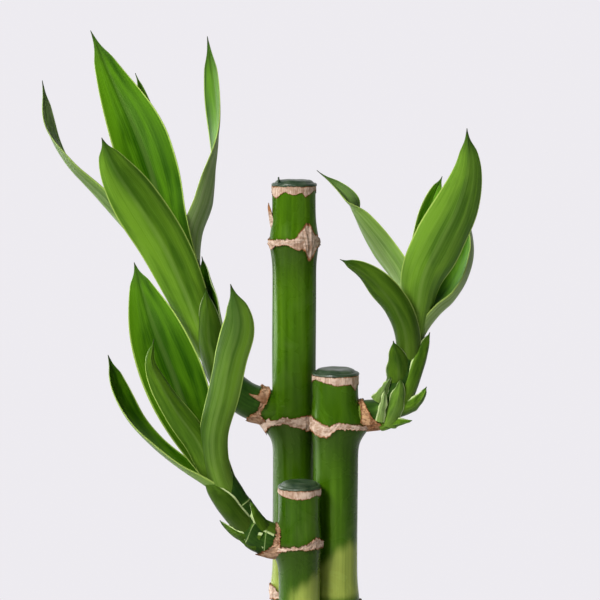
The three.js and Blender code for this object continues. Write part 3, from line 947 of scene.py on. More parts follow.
@dataclass
class Collar(Ring):
    """Torn dry scar round the foot of a shoot.

    Here low and high hold places from 0 to 1 along the stem's axis. At angle 270 they face the viewer;
    0 is the upper side of a stem that starts to the left and the lower side of one that starts to the
    right.
    """

    fray: float = 0.005
    proud: float = 0.42
    least: float = 0.01
    half: float = 0.1

    def patch(self, stem: Stem) -> Patch:
        """Wrap the scar round the stem as a thin crumpled shell.

        Args:
            stem: The stem.

        Returns:
            The closed shell.
        """
        angle = full_turn(180)
        w = np.linspace(0, 1, 13)[:, None]
        t = self.between(angle, w)
        lift = self.proud + crumple(w, angle, self.seed + 2)
        worn = (2 * w - 1) ** 2 * np.ones_like(t)
        outer, inner = stem.ring(t, angle, lift + self.half), stem.ring(t, angle, lift - self.half)
        return shell_patch(outer, inner, True, edge=worn)


# Shoots and canes


@dataclass
class Shoot:
    """A leafy side shoot: its stem, the scar, sheaths and scales at its foot, and its leaves."""

    key: str
    stem: Stem
    leaves: list[Blade]
    scales: list[Blade]
    collar: Collar

    def build(self, stem_finish: Material, skin: Material, paper: Material) -> None:
        """Build and dress every piece of the shoot.

        Args:
            stem_finish: Material of the stem.
            skin: Material of the cane's skin over the stem's foot.
            paper: Material of the scar.
        """
        node = f"shoot_{self.key}"
        make_piece(f"{node}_stem", self.stem.patch(), stem_finish, Slot.SHOOT, (node,))
        make_piece(f"{node}_heel", self.stem.heel(), skin, Slot.CANE, (node,))
        make_piece(f"{node}_{self.collar.name}", self.collar.patch(self.stem), paper, Slot.CANE, (node,))
        for index, blade in enumerate(self.scales):
            finish = blade.finish(f"sheath_{self.key}_{blade.name}", 3.1 * index + 1, PALE_RIM)
            make_piece(f"{node}_{blade.name}", blade.patch(), finish, Slot.SHOOT, (node,))
        for index, blade in enumerate(self.leaves):
            leaf = f"leaf_{self.key}_{blade.name}"
            margin = PALE_RIM if blade.small else GREEN_RIM
            finish = blade.finish(leaf, 1.7 * index + 0.6 * len(self.key), margin)
            make_piece(leaf, blade.patch(), finish, Slot.LEAF, (leaf,))


@dataclass
class Cane:
    """A cut cane with swollen nodes, dry rings, a peeled band and a waxed end.

    A node is its height, its swell and the angle its groove dips towards. A flare is a height, an angle
    and how far it bulges; it reaches further below than above. A fresh patch is its lowest and highest
    height and the angle it faces. row is the height of one row of faces, and shadow is how far below a
    node the shaft is darker with painted shade.
    """

    key: str
    x: float
    y: float
    radius: float
    top: float
    nodes: list[tuple[float, float, float]]
    rings: list[Ring]
    band: Ring
    flares: list[tuple[float, float, float]]
    fresh: list[tuple[float, float, float]]
    foot: float = 12.0
    row: float = 0.8
    groove: float = 0.12
    groove_dip: float = 0.4
    groove_width: float = 0.5
    node_reach: float = 5.0
    flare_spread: float = 42.0
    flare_below: float = 4.2
    flare_above: float = 2.6
    shadow: float = 20.0
    wax_proud: float = 0.16
    wax_waver: float = 0.012
    wax_sag: float = 0.16
    dents: tuple[float, float] = (0.07, 0.06)

    def skin(self, z: Array, angle: Array) -> Array:
        """Radius of the shaft.

        The plain radius, plus a bell at each node, plus a flare under each shoot, plus slow dents.

        Args:
            z: Heights.
            angle: Angles in radians, of the same shape.

        Returns:
            Radii.
        """
        short, long = self.dents
        r = self.radius + short * np.sin(z / 9 + 3 * angle) + long * np.sin(z / 17 - 2 * angle + self.x)
        for height, swell, _ in self.nodes:
            r = r + swell * bell(z - height, self.node_reach)
        for height, towards, amount in self.flares:
            lopsided = np.where(z < height, self.flare_below, self.flare_above)
            r = r + amount * bell(z - height, lopsided) * bell(apart(angle, towards), self.flare_spread)
        return r

    def point(self, z: Array, angle: Array, lift: Array | float = 0.0) -> Array:
        """Points on the shaft, standing off it by lift."""
        return round_axis(self.skin(z, angle) + lift, angle, z, self.x, self.y)

    def shaft(self) -> Patch:
        """The closed shaft, marked where fresh pale growth shows and for painted shade below each node."""
        z = np.linspace(self.foot, self.top, int((self.top - self.foot) / self.row))
        z, angle = np.meshgrid(z, full_turn(ROUND), indexing="ij")
        groove = sum(bell(z - height - self.groove_dip * np.cos(angle - math.radians(low)),
                          self.groove_width) for height, _, low in self.nodes)
        fresh = np.zeros_like(z)
        for low, high, towards in self.fresh:
            aside = apart(angle, towards)
            droop, uneven = 6 * smooth(aside, 10, 100), 0.7 * ripple(angle, 17, (3, 14))
            end = high - droop + uneven
            upright = smooth(z, low, low + 3) * (1 - smooth(z, end - 5, end))
            fresh = fresh + upright * (1 - smooth(aside, 80, 130))
        # painted shade: darker towards each node from below
        shade = sum(smooth(z, height - self.shadow, height) * (z < height)
                    for height, _, _ in self.nodes)
        return tube_patch(self.point(z, angle, -self.groove * groove), fresh=np.clip(fresh, 0, 1),
                          scar=np.clip(groove, 0, 1), shade=shade)

    def ring(self, ring: Ring) -> Patch:
        """A ring, as a closed shell that lifts and thins towards its torn edges.

        Args:
            ring: The ring.

        Returns:
            The closed shell.
        """
        angle = full_turn(300)
        w = np.linspace(0, 1, 11)[:, None]
        z = ring.between(angle, w)
        turned = np.broadcast_to(angle[None], z.shape)
        rim = np.abs(2 * w - 1) * np.ones_like(z)
        lift = ring.proud * (1 + crumple(w, angle, ring.seed + 2) / RING_PROUD)
        half = ring.half * (1 - 0.5 * rim)
        outer, inner = self.point(z, turned, lift + half), self.point(z, turned, lift - half)
        return shell_patch(outer, inner, True, edge=rim**2)

    def cap(self) -> Patch:
        """Wax over the cut end: a low uneven dome whose skirt runs a little down the side."""
        angle = full_turn(ROUND)
        edge = self.radius + self.wax_proud
        share = np.array(CAP_PROFILE)
        waver = ripple(angle, 31 + int(self.top), (2, 9))[None] * (share[:, :1] > 0.8)
        r = edge * share[:, :1] * (1 + self.wax_waver * waver)
        upper = smooth(share[:, 1:], 0.2, 1.0)
        sag = self.wax_sag * upper * ripple(angle, 37 + int(self.top), (1, 7))[None]
        z = self.top + share[:, 1:] + sag * share[:, :1]
        return tube_patch(round_axis(r, angle, z, self.x, self.y))

    def build(self, skin: Material, dry: Material, peeled: Material, wax: Material) -> None:
        """Build and dress the shaft, its rings, its peeled band and its wax.

        Args:
            skin: Material of the shaft.
            dry: Material of the rings at the nodes.
            peeled: Material of the band under the wax.
            wax: Material of the cap.
        """
        node = f"cane_{self.key}"
        make_piece(f"{node}_shaft", self.shaft(), skin, Slot.CANE, (node,))
        for ring in self.rings:
            make_piece(f"{node}_{ring.name}", self.ring(ring), dry, Slot.CANE, (node,))
        make_piece(f"{node}_peeled_band", self.ring(self.band), peeled, Slot.CANE, (node,))
        make_piece(f"wax_{self.key}", self.cap(), wax, Slot.WAX, (f"wax_cap_{self.key}",), 35)


# Pot and soil


@dataclass
class Pot:
    """Round glazed pot with a rolled rim and a flat foot.

    belly is the share of the flare that is reached at half height, where waist softens the bend.
    Below the top, the side ends at side_end and the inner wall starts at wall_start.
    """

    height: float = 62.0
    rim_radius: float = 42.0
    foot_radius: float = 31.5
    wall: float = 3.2
    floor: float = 5.0
    bead: float = 1.4
    belly: float = 0.62
    foot_round: float = 1.5
    corner: float = 3.0
    waist: float = 0.12
    waist_reach: float = 9.0
    side_end: float = 2.6
    wall_start: float = 4.0
    hub: float = 0.3
    sides: int = 144

    def outside(self, z: Array) -> Array:
        """Outer radius: two straight flares that meet softly at half height.

        Args:
            z: Heights.

        Returns:
            Radii.
        """
        middle = self.foot_radius + (self.rim_radius - self.foot_radius) * self.belly
        heights, radii = [0.0, self.height / 2, self.height], [self.foot_radius, middle, self.rim_radius]
        soft = self.waist * bell(np.asarray(z) - self.height / 2, self.waist_reach)
        return np.interp(z, heights, radii) + soft

    def profile(self) -> Array:
        """Radius and height from the underside's middle, round the rim, to the floor's middle."""
        foot = np.linspace(0, np.pi / 2, 7)
        rise = np.linspace(self.foot_round, self.height - self.side_end, 30)
        roll = np.radians(np.linspace(-60, 150, 15))
        down = np.linspace(self.height - self.wall_start, self.floor + self.corner, 22)
        bevel = np.linspace(0, np.pi / 2, 6)
        inner = self.outside(down) - self.wall
        low, soft = inner[-1], self.foot_round
        parts = [
            [[self.hub, 0.0], [self.foot_radius * 0.5, 0.0]],
            np.stack([self.foot_radius - soft + soft * np.sin(foot), soft - soft * np.cos(foot)], -1),
            np.stack([self.outside(rise), rise], -1)[1:],
            np.stack([self.rim_radius - self.bead + self.bead * np.cos(roll),
                      self.height - self.bead + self.bead * np.sin(roll)], -1),
            np.stack([inner, down], -1),
            np.stack([low - self.corner * (1 - np.cos(bevel)),
                      self.floor + self.corner * (1 - np.sin(bevel))], -1)[1:],
            [[self.hub, self.floor]],
        ]
        return np.vstack([np.asarray(part, float) for part in parts])

    def build(self, glaze: Material) -> None:
        """Turn the profile round the upright axis."""
        shape = self.profile()
        rings = round_axis(shape[:, :1], full_turn(self.sides), shape[:, 1:])
        make_piece("pot_glazed", tube_patch(rings), glaze, Slot.POT, ("pot",), 60)


@dataclass
class Soil:
    """Potting soil with a lumpy top and loose crumbs, banked against the canes.

    heap is how far the mound rises over its edge at mound, and bank is the rise beside a cane, over
    bank_reach. clear is the gap to the pot's wall, and free the gap between crumbs and a cane. A
    crumb is grain[0] in size and up to grain[1] more.
    """

    canes: list[Cane]
    pot: Pot
    top: float = 53.0
    heap: float = 1.6
    bank: float = 0.6
    crumbs: int = 1500
    spread: float = 36.5
    mound: float = 36.0
    bank_reach: float = 1.8
    clear: float = 0.35
    free: float = 0.7
    grain: tuple[float, float] = (0.35, 0.75)

    def height(self, x: Array, y: Array) -> Array:
        """Height of the top: a low mound, a few crossed waves and a small bank round each cane.

        Args:
            x: Places to the right.
            y: Places away from the viewer.

        Returns:
            Heights.
        """
        away = np.hypot(x, y) / self.mound
        lumps = 0.28 * np.sin(x / 2.3 + 1.1 * np.sin(y / 3.1))
        lumps = lumps + 0.22 * np.sin(y / 1.9 + np.sin(x / 2.7) + 2)
        z = self.top + self.heap * (1 - away**2) + lumps - 0.5
        for cane in self.canes:
            beside = np.hypot(x - cane.x, y - cane.y) - cane.radius
            z = z + self.bank * bell(beside, self.bank_reach)
        return z

    def body(self) -> Patch:
        """The closed lump: the lumpy top, and a side that keeps clear of the pot's wall."""
        angle = full_turn(120)
        gap = self.pot.wall + self.clear
        edge = float(self.pot.outside(np.array(self.top))) - gap
        low = [6.0, 9.0, 20.0, 31.0, 42.0, self.top - 1.2]
        side = [(float(self.pot.outside(np.array(z))) - gap - (3.0 if z < 7 else 0.3), z) for z in low]
        rings = [round_axis(r, angle, z) for r, z in side]
        for r in np.linspace(edge - 0.8, 0.4, 44):
            x, y = r * np.cos(angle), r * np.sin(angle)
            rings.append(np.stack([x, y, self.height(x, y)], -1))
        return tube_patch(np.stack(rings))

    def grains(self) -> Patch:
        """Loose crumbs: stretched and turned twenty-faced lumps, scattered by a seeded draw."""
        golden = (1 + math.sqrt(5)) / 2
        card = np.array([(a, b * golden, 0) for a in (-1, 1) for b in (-1, 1)])
        corners = unit(np.vstack([np.roll(card, turn, axis=1) for turn in range(3)]))
        gaps = np.linalg.norm(corners[:, None] - corners[None], axis=-1)
        near = gaps < 1.1
        faces = [f for f in combinations(range(len(corners)), 3) if near[np.ix_(f, f)].all()]
        faces = [f if np.linalg.det(corners[list(f)]) > 0 else f[::-1] for f in faces]
        rng = np.random.default_rng(11)
        r = self.spread * np.sqrt(rng.uniform(0, 1, self.crumbs))
        angle = rng.uniform(0, 2 * np.pi, self.crumbs)
        x, y = r * np.cos(angle), r * np.sin(angle)
        free = np.all([np.hypot(x - cane.x, y - cane.y) > cane.radius + self.free
                       for cane in self.canes], axis=0)
        x, y = x[free], y[free]
        size = self.grain[0] + self.grain[1] * rng.uniform(0, 1, len(x)) ** 2.5
        stretch = rng.uniform(0.55, 1.35, (len(x), 1, 3)) * size[:, None, None]
        axes = unit(rng.normal(size=(len(x), 3)))
        second = unit(np.cross(axes, unit(rng.normal(size=(len(x), 3)))))
        turned = np.stack([axes, second, np.cross(axes, second)], 1)
        lumps = np.einsum("nij,njk->nik", corners[None] * stretch, turned)
        lift = 0.3 * size
        centre = np.stack([x, y, self.height(x, y) + lift], -1)
        points = (lumps + centre[:, None]).reshape(-1, 3)
        all_faces = (np.array(faces) + len(corners) * np.arange(len(x))[:, None, None]).reshape(-1, 3)
        return Patch(points, all_faces.tolist(), np.zeros((all_faces.size, 2)))

    def build(self, finish: Material) -> None:
        """Build and dress the soil and its crumbs."""
        make_piece("soil_bed", self.body(), finish, Slot.SOIL, ("soil",), 80)
        make_piece("soil_crumbs", self.grains(), finish, Slot.SOIL, ("soil",), 30)


# Studio


@dataclass
class Studio:
    """Camera at the photograph's angle, soft lights and a plain pale floor."""

    aim: Point = (0.0, 0.0, 0.178)
    distance: float = 0.7467
    pitch: float = 6.0
    lens: float = 140.0
    horizon: Colour = (0.85, 0.832, 0.872)
    zenith: Colour = (0.8, 0.785, 0.825)
    ground: tuple[Colour, Colour] = ((0.64, 0.635, 0.65), (0.66, 0.655, 0.67))
    in_front: Colour = (0.035, 0.035, 0.038)
    behind: Colour = (0.85, 0.84, 0.87)
    near: float = 0.16
    far: float = 0.33

    def camera(self) -> None:
        """Aim a long lens at the plant, looking a little down."""
        data = bpy.data.cameras.new("view")
        data.lens = self.lens
        data.sensor_width = 36.0
        data.clip_end = 200.0
        camera = bpy.data.objects.new("view", data)
        tilt = math.radians(self.pitch)
        camera.location = (self.aim[0], self.aim[1] - self.distance * math.cos(tilt),
                           self.aim[2] + self.distance * math.sin(tilt))
        camera.rotation_euler = (math.radians(90 - self.pitch), 0, 0)
        bpy.context.scene.collection.objects.link(camera)
        bpy.context.scene.camera = camera

    def light(self, name: str, place: Point, size: float, power: float,
              colour: Colour = (1, 1, 1)) -> None:
        """A square soft light that faces the plant.

        Args:
            name: Its name.
            place: Where it stands, in metres.
            size: Its side, in metres.
            power: Its power, in watts.
            colour: Its colour.
        """
        data = bpy.data.lights.new(name, "AREA")
        data.size = size
        data.energy = power
        data.color = colour
        lamp = bpy.data.objects.new(name, data)
        away = unit(np.array(place) - np.array(self.aim))
        lamp.location = place
        lamp.rotation_euler = (math.acos(away[2]), 0, math.atan2(away[0], -away[1]))
        bpy.context.scene.collection.objects.link(lamp)

    def floor(self) -> None:
        """A wide disc that fades into the tone of the horizon."""
        r = Recipe("studio_floor")
        x, y, _ = r.split(r.place())
        away = r.math("SQRT", r.math("ADD", r.times(x, x), r.times(y, y)))
        grain = r.noise(r.place(), 40.0, 2.0)
        colour = r.mix(grain, *self.ground)
        r.finish(colour, 0.9, r.bump(grain, 0.02, 0.1), Specular_IOR_Level=0.1)
        glow = r.node("ShaderNodeEmission", {"Color": self.horizon, "Strength": 1.0})
        seen = r.node("ShaderNodeLightPath").outputs["Is Camera Ray"]
        share = r.times(r.span(away, self.near, self.far), seen)
        blend = r.node("ShaderNodeMixShader", {0: share, 1: r.shader.outputs[0], 2: glow.outputs[0]})
        r.feed(r.find("OUTPUT_MATERIAL").inputs["Surface"], blend.outputs[0])
        radii = np.concatenate([np.linspace(0.001, 1, 12), np.geomspace(1.5, 60, 14)])
        patch = grid_patch(round_axis(radii[::-1, None], full_turn(96), 0.0), True)
        mesh = bpy.data.meshes.new("studio_floor")
        mesh.from_pydata(patch.points.tolist(), [], patch.faces)
        mesh.materials.append(r.material)
        floor = bpy.data.objects.new("studio_floor", mesh)
        bpy.context.scene.collection.objects.link(floor)

    def world(self) -> None:
        """Pale surroundings, which light the plant brightly from behind and dimly from in front."""
        world = bpy.data.worlds.new("surroundings")
        sky = Nodes(world)
        _, y, z = sky.split(sky.node("ShaderNodeTexCoord").outputs["Generated"])
        plain = sky.ramp(z, [(0.03, self.horizon), (0.5, self.zenith)])
        lit = sky.ramp(y, [(0.05, self.in_front), (0.75, self.behind)])
        seen = sky.node("ShaderNodeLightPath").outputs["Is Camera Ray"]
        sky.feed(sky.find("BACKGROUND").inputs[0], sky.mix(seen, lit, plain))
        bpy.context.scene.world = world

    def build(self) -> None:
        """Set up the whole studio."""
        bpy.context.scene.view_settings.view_transform = "Standard"
        self.camera()
        self.world()
        self.floor()
        self.light("key", (-0.62, -0.72, 0.85), 0.42, 18.5, (1.0, 0.99, 0.97))
        self.light("fill", (0.7, -0.95, 0.4), 0.8, 0.9)
        self.light("side_left", (-0.88, 0.42, 0.3), 0.5, 5.0)
        self.light("back_left", (-0.8, 0.6, 0.6), 0.6, 6.0)


# The plant


def canes() -> list[Cane]:
    """The three canes, from the tallest."""
    tall = Cane(
        "tall", x=-1.9, y=9.0, radius=7.05, top=214.0,
        nodes=[(27, 0.7, 0), (82, 0.7, 180), (137.5, 0.7, 0), (196, 0.9, 200)],
        rings=[
            Ring("low_ring", seed=3, low={0: 26.0, 90: 25.6, 180: 26.4, 270: 25.8},
                 high={0: 27.8, 90: 28.4, 180: 28.0, 270: 27.6}),
            Ring("second_ring", seed=13,
                 low={0: 80.8, 90: 81.5, 180: 78.5, 222: 79.5, 250: 80.5, 290: 80.8},
                 high={0: 82.6, 90: 83.0, 180: 83.4, 210: 84.4, 230: 82.4, 290: 82.5}),
            Ring("shoot_ring", seed=23,
                 low={0: 136.2, 90: 136.8, 150: 135.6, 185: 132.8, 200: 134.2, 219: 136.6, 248: 137.6,
                      277: 136.4, 299: 135.2, 317: 135.4},
                 high={0: 139.4, 90: 139.2, 150: 140.2, 182: 140.6, 197: 142.8, 207: 140.6, 216: 138.6,
                       235: 138.9, 243: 140.1, 260: 139.4, 284: 139.9, 299: 140.6, 317: 139.5}),
            Ring("upper_ring", seed=33,
                 low={0: 194.8, 60: 195.0, 120: 194.2, 165: 195.0, 192: 195.6, 210: 193.4, 225: 195.2,
                      254: 195.4, 277: 194.0, 294: 193.6, 306: 190.2, 316: 190.6, 330: 194.4},
                 high={0: 196.2, 60: 197.0, 120: 198.4, 165: 197.0, 192: 196.8, 249: 197.4, 272: 197.6,
                       288: 200.4, 300: 202.8, 308: 202.4, 324: 199.0}),
        ],
        band=Ring("peeled_band", seed=43, fray=0.18, proud=0.12,
                  low={0: 211.6, 60: 212.2, 120: 211.0, 180: 212.0, 212: 210.4, 219: 210.3, 246: 212.4,
                       267: 211.4, 291: 212.1, 300: 210.7, 325: 212.2, 342: 213.0},
                  high={0: 214.1, 180: 214.1}),
        flares=[(137.0, 180, 3.0), (142.5, 180, 2.0)],
        fresh=[(66.0, 98.0, 200)],
    )
    middle = Cane(
        "middle", x=11.4, y=-1.0, radius=7.25, top=154.0,
        nodes=[(28, 0.6, 180), (79.6, 0.6, 0), (138.3, 0.6, 0)],
        rings=[
            Ring("low_ring", seed=53, low={0: 27.0, 90: 26.8, 180: 27.4, 270: 26.8},
                 high={0: 28.8, 90: 29.4, 180: 29.0, 270: 28.7}),
            Ring("second_ring", seed=63, low={0: 78.4, 90: 78.8, 180: 78.2, 270: 78.6},
                 high={0: 80.4, 90: 80.7, 180: 80.1, 270: 80.5}),
            Ring("shoot_ring", seed=73,
                 low={0: 135.8, 30: 136.6, 90: 136.9, 150: 136.8, 198: 136.8, 212: 135.6, 234: 134.6,
                      252: 134.8, 263: 136.2, 270: 137.5, 292: 137.4, 334: 136.6},
                 high={0: 139.2, 30: 139.6, 90: 139.3, 150: 140.2, 204: 141.2, 220: 140.1, 234: 139.6,
                       256: 138.4, 275: 139.8, 305: 139.0, 334: 138.2}),
        ],
        band=Ring("peeled_band", seed=83, fray=0.18, proud=0.12,
                  low={0: 151.2, 60: 151.8, 120: 151.2, 180: 151.4, 210: 153.0, 250: 152.0, 268: 151.3,
                       309: 151.5, 326: 149.2, 336: 151.2}, high={0: 154.1, 180: 154.1}),
        flares=[(137.6, 0, 2.6), (142.0, 0, 1.8)],
        fresh=[(81.0, 102.5, 325)],
    )
    short = Cane(
        "short", x=-0.2, y=-10.5, radius=6.65, top=119.0,
        nodes=[(46, 0.6, 0), (100.8, 0.6, 180)],
        rings=[
            Ring("low_ring", seed=93, fray=0.15, low={0: 45.0, 90: 44.6, 180: 45.2, 270: 44.8},
                 high={0: 46.8, 90: 47.4, 180: 47.0, 270: 46.7}),
            Ring("shoot_ring", seed=103,
                 low={0: 100.3, 60: 99.8, 120: 99.4, 170: 97.6, 195: 98.2, 213: 99.1, 259: 100.4,
                      284: 100.3, 324: 100.2},
                 high={0: 101.9, 60: 101.6, 120: 102.2, 170: 102.8, 213: 100.9, 246: 101.2, 272: 101.6,
                       292: 102.4, 312: 104.1, 325: 103.6, 339: 102.5}),
        ],
        band=Ring("peeled_band", seed=113, fray=0.14, proud=0.12,
                  low={0: 116.8, 60: 116.2, 120: 117.0, 193: 117.5, 227: 116.9, 252: 116.5, 277: 116.2,
                       320: 117.2, 339: 116.8}, high={0: 119.1, 180: 119.1}),
        flares=[(100.4, 180, 2.2), (103.5, 180, 1.6)],
        fresh=[(60.0, 95.5, 352)],
    )
    return [tall, middle, short]


def upper_left_shoot() -> Shoot:
    """The shoot at the left of the tall cane."""
    stem = Stem(foot=0.135, rims=(0.34, 0.5), radius=[5.3, 5.8, 5.3, 4.8, 4.1, 3.3, 2.4, 1.2],
                axis=[(-6, 9, 141), (-13.5, 8.5, 143), (-19.2, 7.5, 146.2), (-24.2, 6, 151),
                      (-27.8, 5.5, 158), (-29.8, 5.8, 168), (-31.8, 7.5, 180), (-34, 9.5, 190)])
    leaves = [
        Blade("big_back", width=(5.4, 9.7), place=0.6, trough=27, open=0.42, light=0.82, painted_side_light=0.16,
              turn=[5, 10, 5, 0],
              rib=[(-31, 10.5, 173.5), (-38.6, 13, 189), (-44.6, 15, 204), (-48.7, 18, 218.5),
                   (-53.9, 22, 232), (-61.2, 27, 247), (-69, 31, 264)]),
        Blade("spear", width=(2.4, 2.8), place=0.45, sharp=2, clasp=60, trough=50, open=0.6, light=0.8,
              turn=[20, 20],
              rib=[(-32, 11.4, 174), (-38, 17, 197.5), (-44.5, 22, 213.5), (-48.2, 27, 229),
                   (-51, 31, 240.5), (-54.5, 33, 250)]),
        Blade("twisted", width=(6, 6.2), place=0.55, sharp=2.6, trough=32, open=0.42, painted_side_light=-0.1,
              bloom=0.75, upper_bloom_and_sheen=0.1, turn=[-110, -125, -112, -62, -24],
              rib=[(-30.5, 8.5, 172), (-33.5, 14, 187), (-33.5, 17, 198), (-30, 20, 209), (-28, 22, 220),
                   (-27, 22, 233), (-28, 20, 246.5), (-30, 17, 262)]),
        Blade("outer_left", width=(6, 5.2), place=0.6, sharp=2.4, trough=35, open=0.4, light=0.95,
              bloom=0.36, upper_bloom_and_sheen=0.85, turn=[112, 118, 122, 122, 116, 106, 92, 62, 50],
              rib=[(-31.5, 8, 167.5), (-42, 10, 184.5), (-53.5, 11, 197.5), (-65, 9, 210.5),
                   (-74.5, 5, 221.5), (-80, 0, 233.5), (-81.2, -4, 248)]),
        Blade("big_front", width=(5.8, 8.2), place=0.56, sharp=2, trough=28, open=0.5, light=1.02,
              painted_side_light=-0.12, turn=[174, 178, 182, 184, 182],
              rib=[(-26.5, 1.5, 154.5), (-31.6, 1, 166.5), (-37, 0, 181), (-43.8, -4, 196.5),
                   (-52, -9, 210.5), (-58, -14, 221), (-61.5, -18, 230.5)]),
        Blade("short_back", width=(6.6, 4.6), sharp=1.9, trough=56, light=1.1, small=True,
              turn=[-30, -34, -38],
              rib=[(-25, 8.6, 159), (-27, 8.4, 171), (-29.2, 7.4, 181.5), (-31.6, 5.4, 191.5)]),
        Blade("short_front", width=(9.6, 6.6), place=0.35, sharp=1.7, clasp=120, light=0.5, small=True,
              turn=[172, 172, 176],
              rib=[(-22, 1.6, 146.5), (-26.5, -0.2, 154.5), (-29, -0.9, 164.5), (-29.5, -1.7, 173.5),
                   (-30, -2.2, 182)]),
    ]
    collar = Collar("scar", seed=71,
                    low={0: 0.105, 60: 0.1, 120: 0.08, 180: 0.04, 215: 0.06, 232: 0.085, 250: 0.125,
                         270: 0.12, 300: 0.1, 330: 0.096},
                    high={0: 0.176, 60: 0.165, 120: 0.16, 180: 0.168, 222: 0.19, 245: 0.168, 258: 0.153,
                          270: 0.155, 286: 0.152, 295: 0.285, 303: 0.205, 318: 0.186, 335: 0.182})
    return Shoot("upper_left", stem, leaves, [], collar)


def lower_left_shoot() -> Shoot:
    """The shoot at the left of the short cane."""
    stem = Stem(foot=0.085, rims=(0.2, 0.35, 0.5), radius=[5.2, 5.2, 5, 4.6, 4, 3, 1.4],
                axis=[(-4, -10.5, 101.5), (-10.5, -10.7, 102.5), (-15, -11, 105.5), (-19, -11.2, 111.5),
                      (-22.8, -11.5, 119), (-26.5, -12, 126.5), (-29.5, -12.5, 134)])
    leaves = [
        Blade("big_back", width=(6.5, 10.3), place=0.5, sharp=1.8, clasp=110, trough=26, open=0.48,
              light=0.68, painted_side_light=0.1, turn=[0, 4, 0, 0],
              rib=[(-21, -8, 115), (-28.5, -7, 128), (-35.5, -6, 141.5), (-41, -4, 155.5),
                   (-46, -1, 167.5), (-50, 3, 178.5), (-53.5, 7, 189.5)]),
        Blade("outer_left", width=(5.8, 6), place=0.62, sharp=3, trough=42, open=0.5, light=0.9,
              bloom=0.45, turn=[88, 86, 80, 68, 52],
              rib=[(-23.5, -10, 115), (-30.5, -12, 120.5), (-38, -13, 126), (-46, -14, 133),
                   (-53.5, -15, 142), (-58, -14.5, 151.5), (-60.5, -13, 162)]),
        Blade("curled", width=(6.5, 5), place=0.35, trough=55, open=0.5, light=0.75, painted_side_light=0.1,
              turn=[-180, -168, -158, -150],
              rib=[(-21, -13, 116), (-27.5, -15.4, 125.5), (-32.5, -17.5, 135.5), (-38.5, -19.5, 144.5),
                   (-43.5, -21, 153.5), (-46.5, -22, 161), (-45.5, -22, 168)]),
        Blade("short_back", width=(6.8, 4.6), place=0.3, clasp=105, trough=80, light=0.7, small=True,
              turn=[-15, -15],
              rib=[(-17.5, -6, 111), (-22.5, -6.5, 120), (-25, -8, 130), (-23, -10, 141)]),
        Blade("tall_front", width=(5.8, 5.7), place=0.76, sharp=1.8, trough=40, open=0.8, light=0.72,
              painted_side_light=0.5, bloom=0.14, turn=[172, 174, 170, 174, 184],
              rib=[(-20, -14.2, 110), (-25.8, -16.6, 123), (-27.5, -19, 136), (-24.5, -21, 150),
                   (-22, -22.5, 161.5), (-19, -23.5, 173.5), (-21.5, -24, 185.5)]),
    ]
    scales = [
        Blade("tip_sheath", width=(7, 7), sharp=1.8, clasp=108, trough=76, open=0.95, light=0.29,
              small=True, turn=[128, 128],
              rib=[(-18.6, -14.2, 104.6), (-22.2, -15.4, 109), (-25.8, -15.8, 114), (-28.6, -15.2, 118.6),
                   (-30.4, -14.2, 123.6)]),
        Blade("low_scale", width=(6.5, 4.2), place=0.3, sharp=1.5, clasp=90, trough=66, open=0.95,
              light=0.45, small=True, turn=[108, 108, 104],
              rib=[(-14, -13.2, 100.8), (-20.5, -13.2, 103.9), (-25.5, -12.8, 109)]),
        Blade("brown_scale", width=(5.5, 3.2), place=0.3, sharp=1.4, clasp=86, open=0.95, light=0.4,
              small=True, turn=[112, 112, 108],
              rib=[(-9.5, -13.2, 98.8), (-15.5, -13.8, 100.4), (-20.8, -13.6, 104.9)]),
        Blade("open_sheath", width=(13.8, 13.2), sharp=2.6, clasp=154, trough=150, open=0.95, light=0.42,
              thick=0.4, small=True, turn=[0, 0],
              rib=[(-9.4, -5.8, 102.4), (-14.6, -5.8, 105.2), (-18.8, -6.1, 111), (-21.4, -6.6, 116),
                   (-23.6, -7.2, 121)]),
        Blade("top_scale", width=(5.6, 3.6), place=0.35, clasp=84, trough=62, open=0.95, light=0.32,
              small=True, turn=[-128, -124, -120],
              rib=[(-8.6, -13.6, 104.6), (-12.2, -14.4, 110), (-16, -13.4, 115.3)]),
    ]
    collar = Collar("scar", seed=91, fray=0.008,
                    low={0: 0.072, 60: 0.06, 120: 0.04, 180: 0.02, 230: 0.03, 250: 0.05, 270: 0.062,
                         300: 0.066},
                    high={0: 0.112, 60: 0.12, 120: 0.16, 180: 0.2, 230: 0.185, 250: 0.15, 270: 0.118,
                          300: 0.105, 330: 0.118})
    return Shoot("lower_left", stem, leaves, scales, collar)


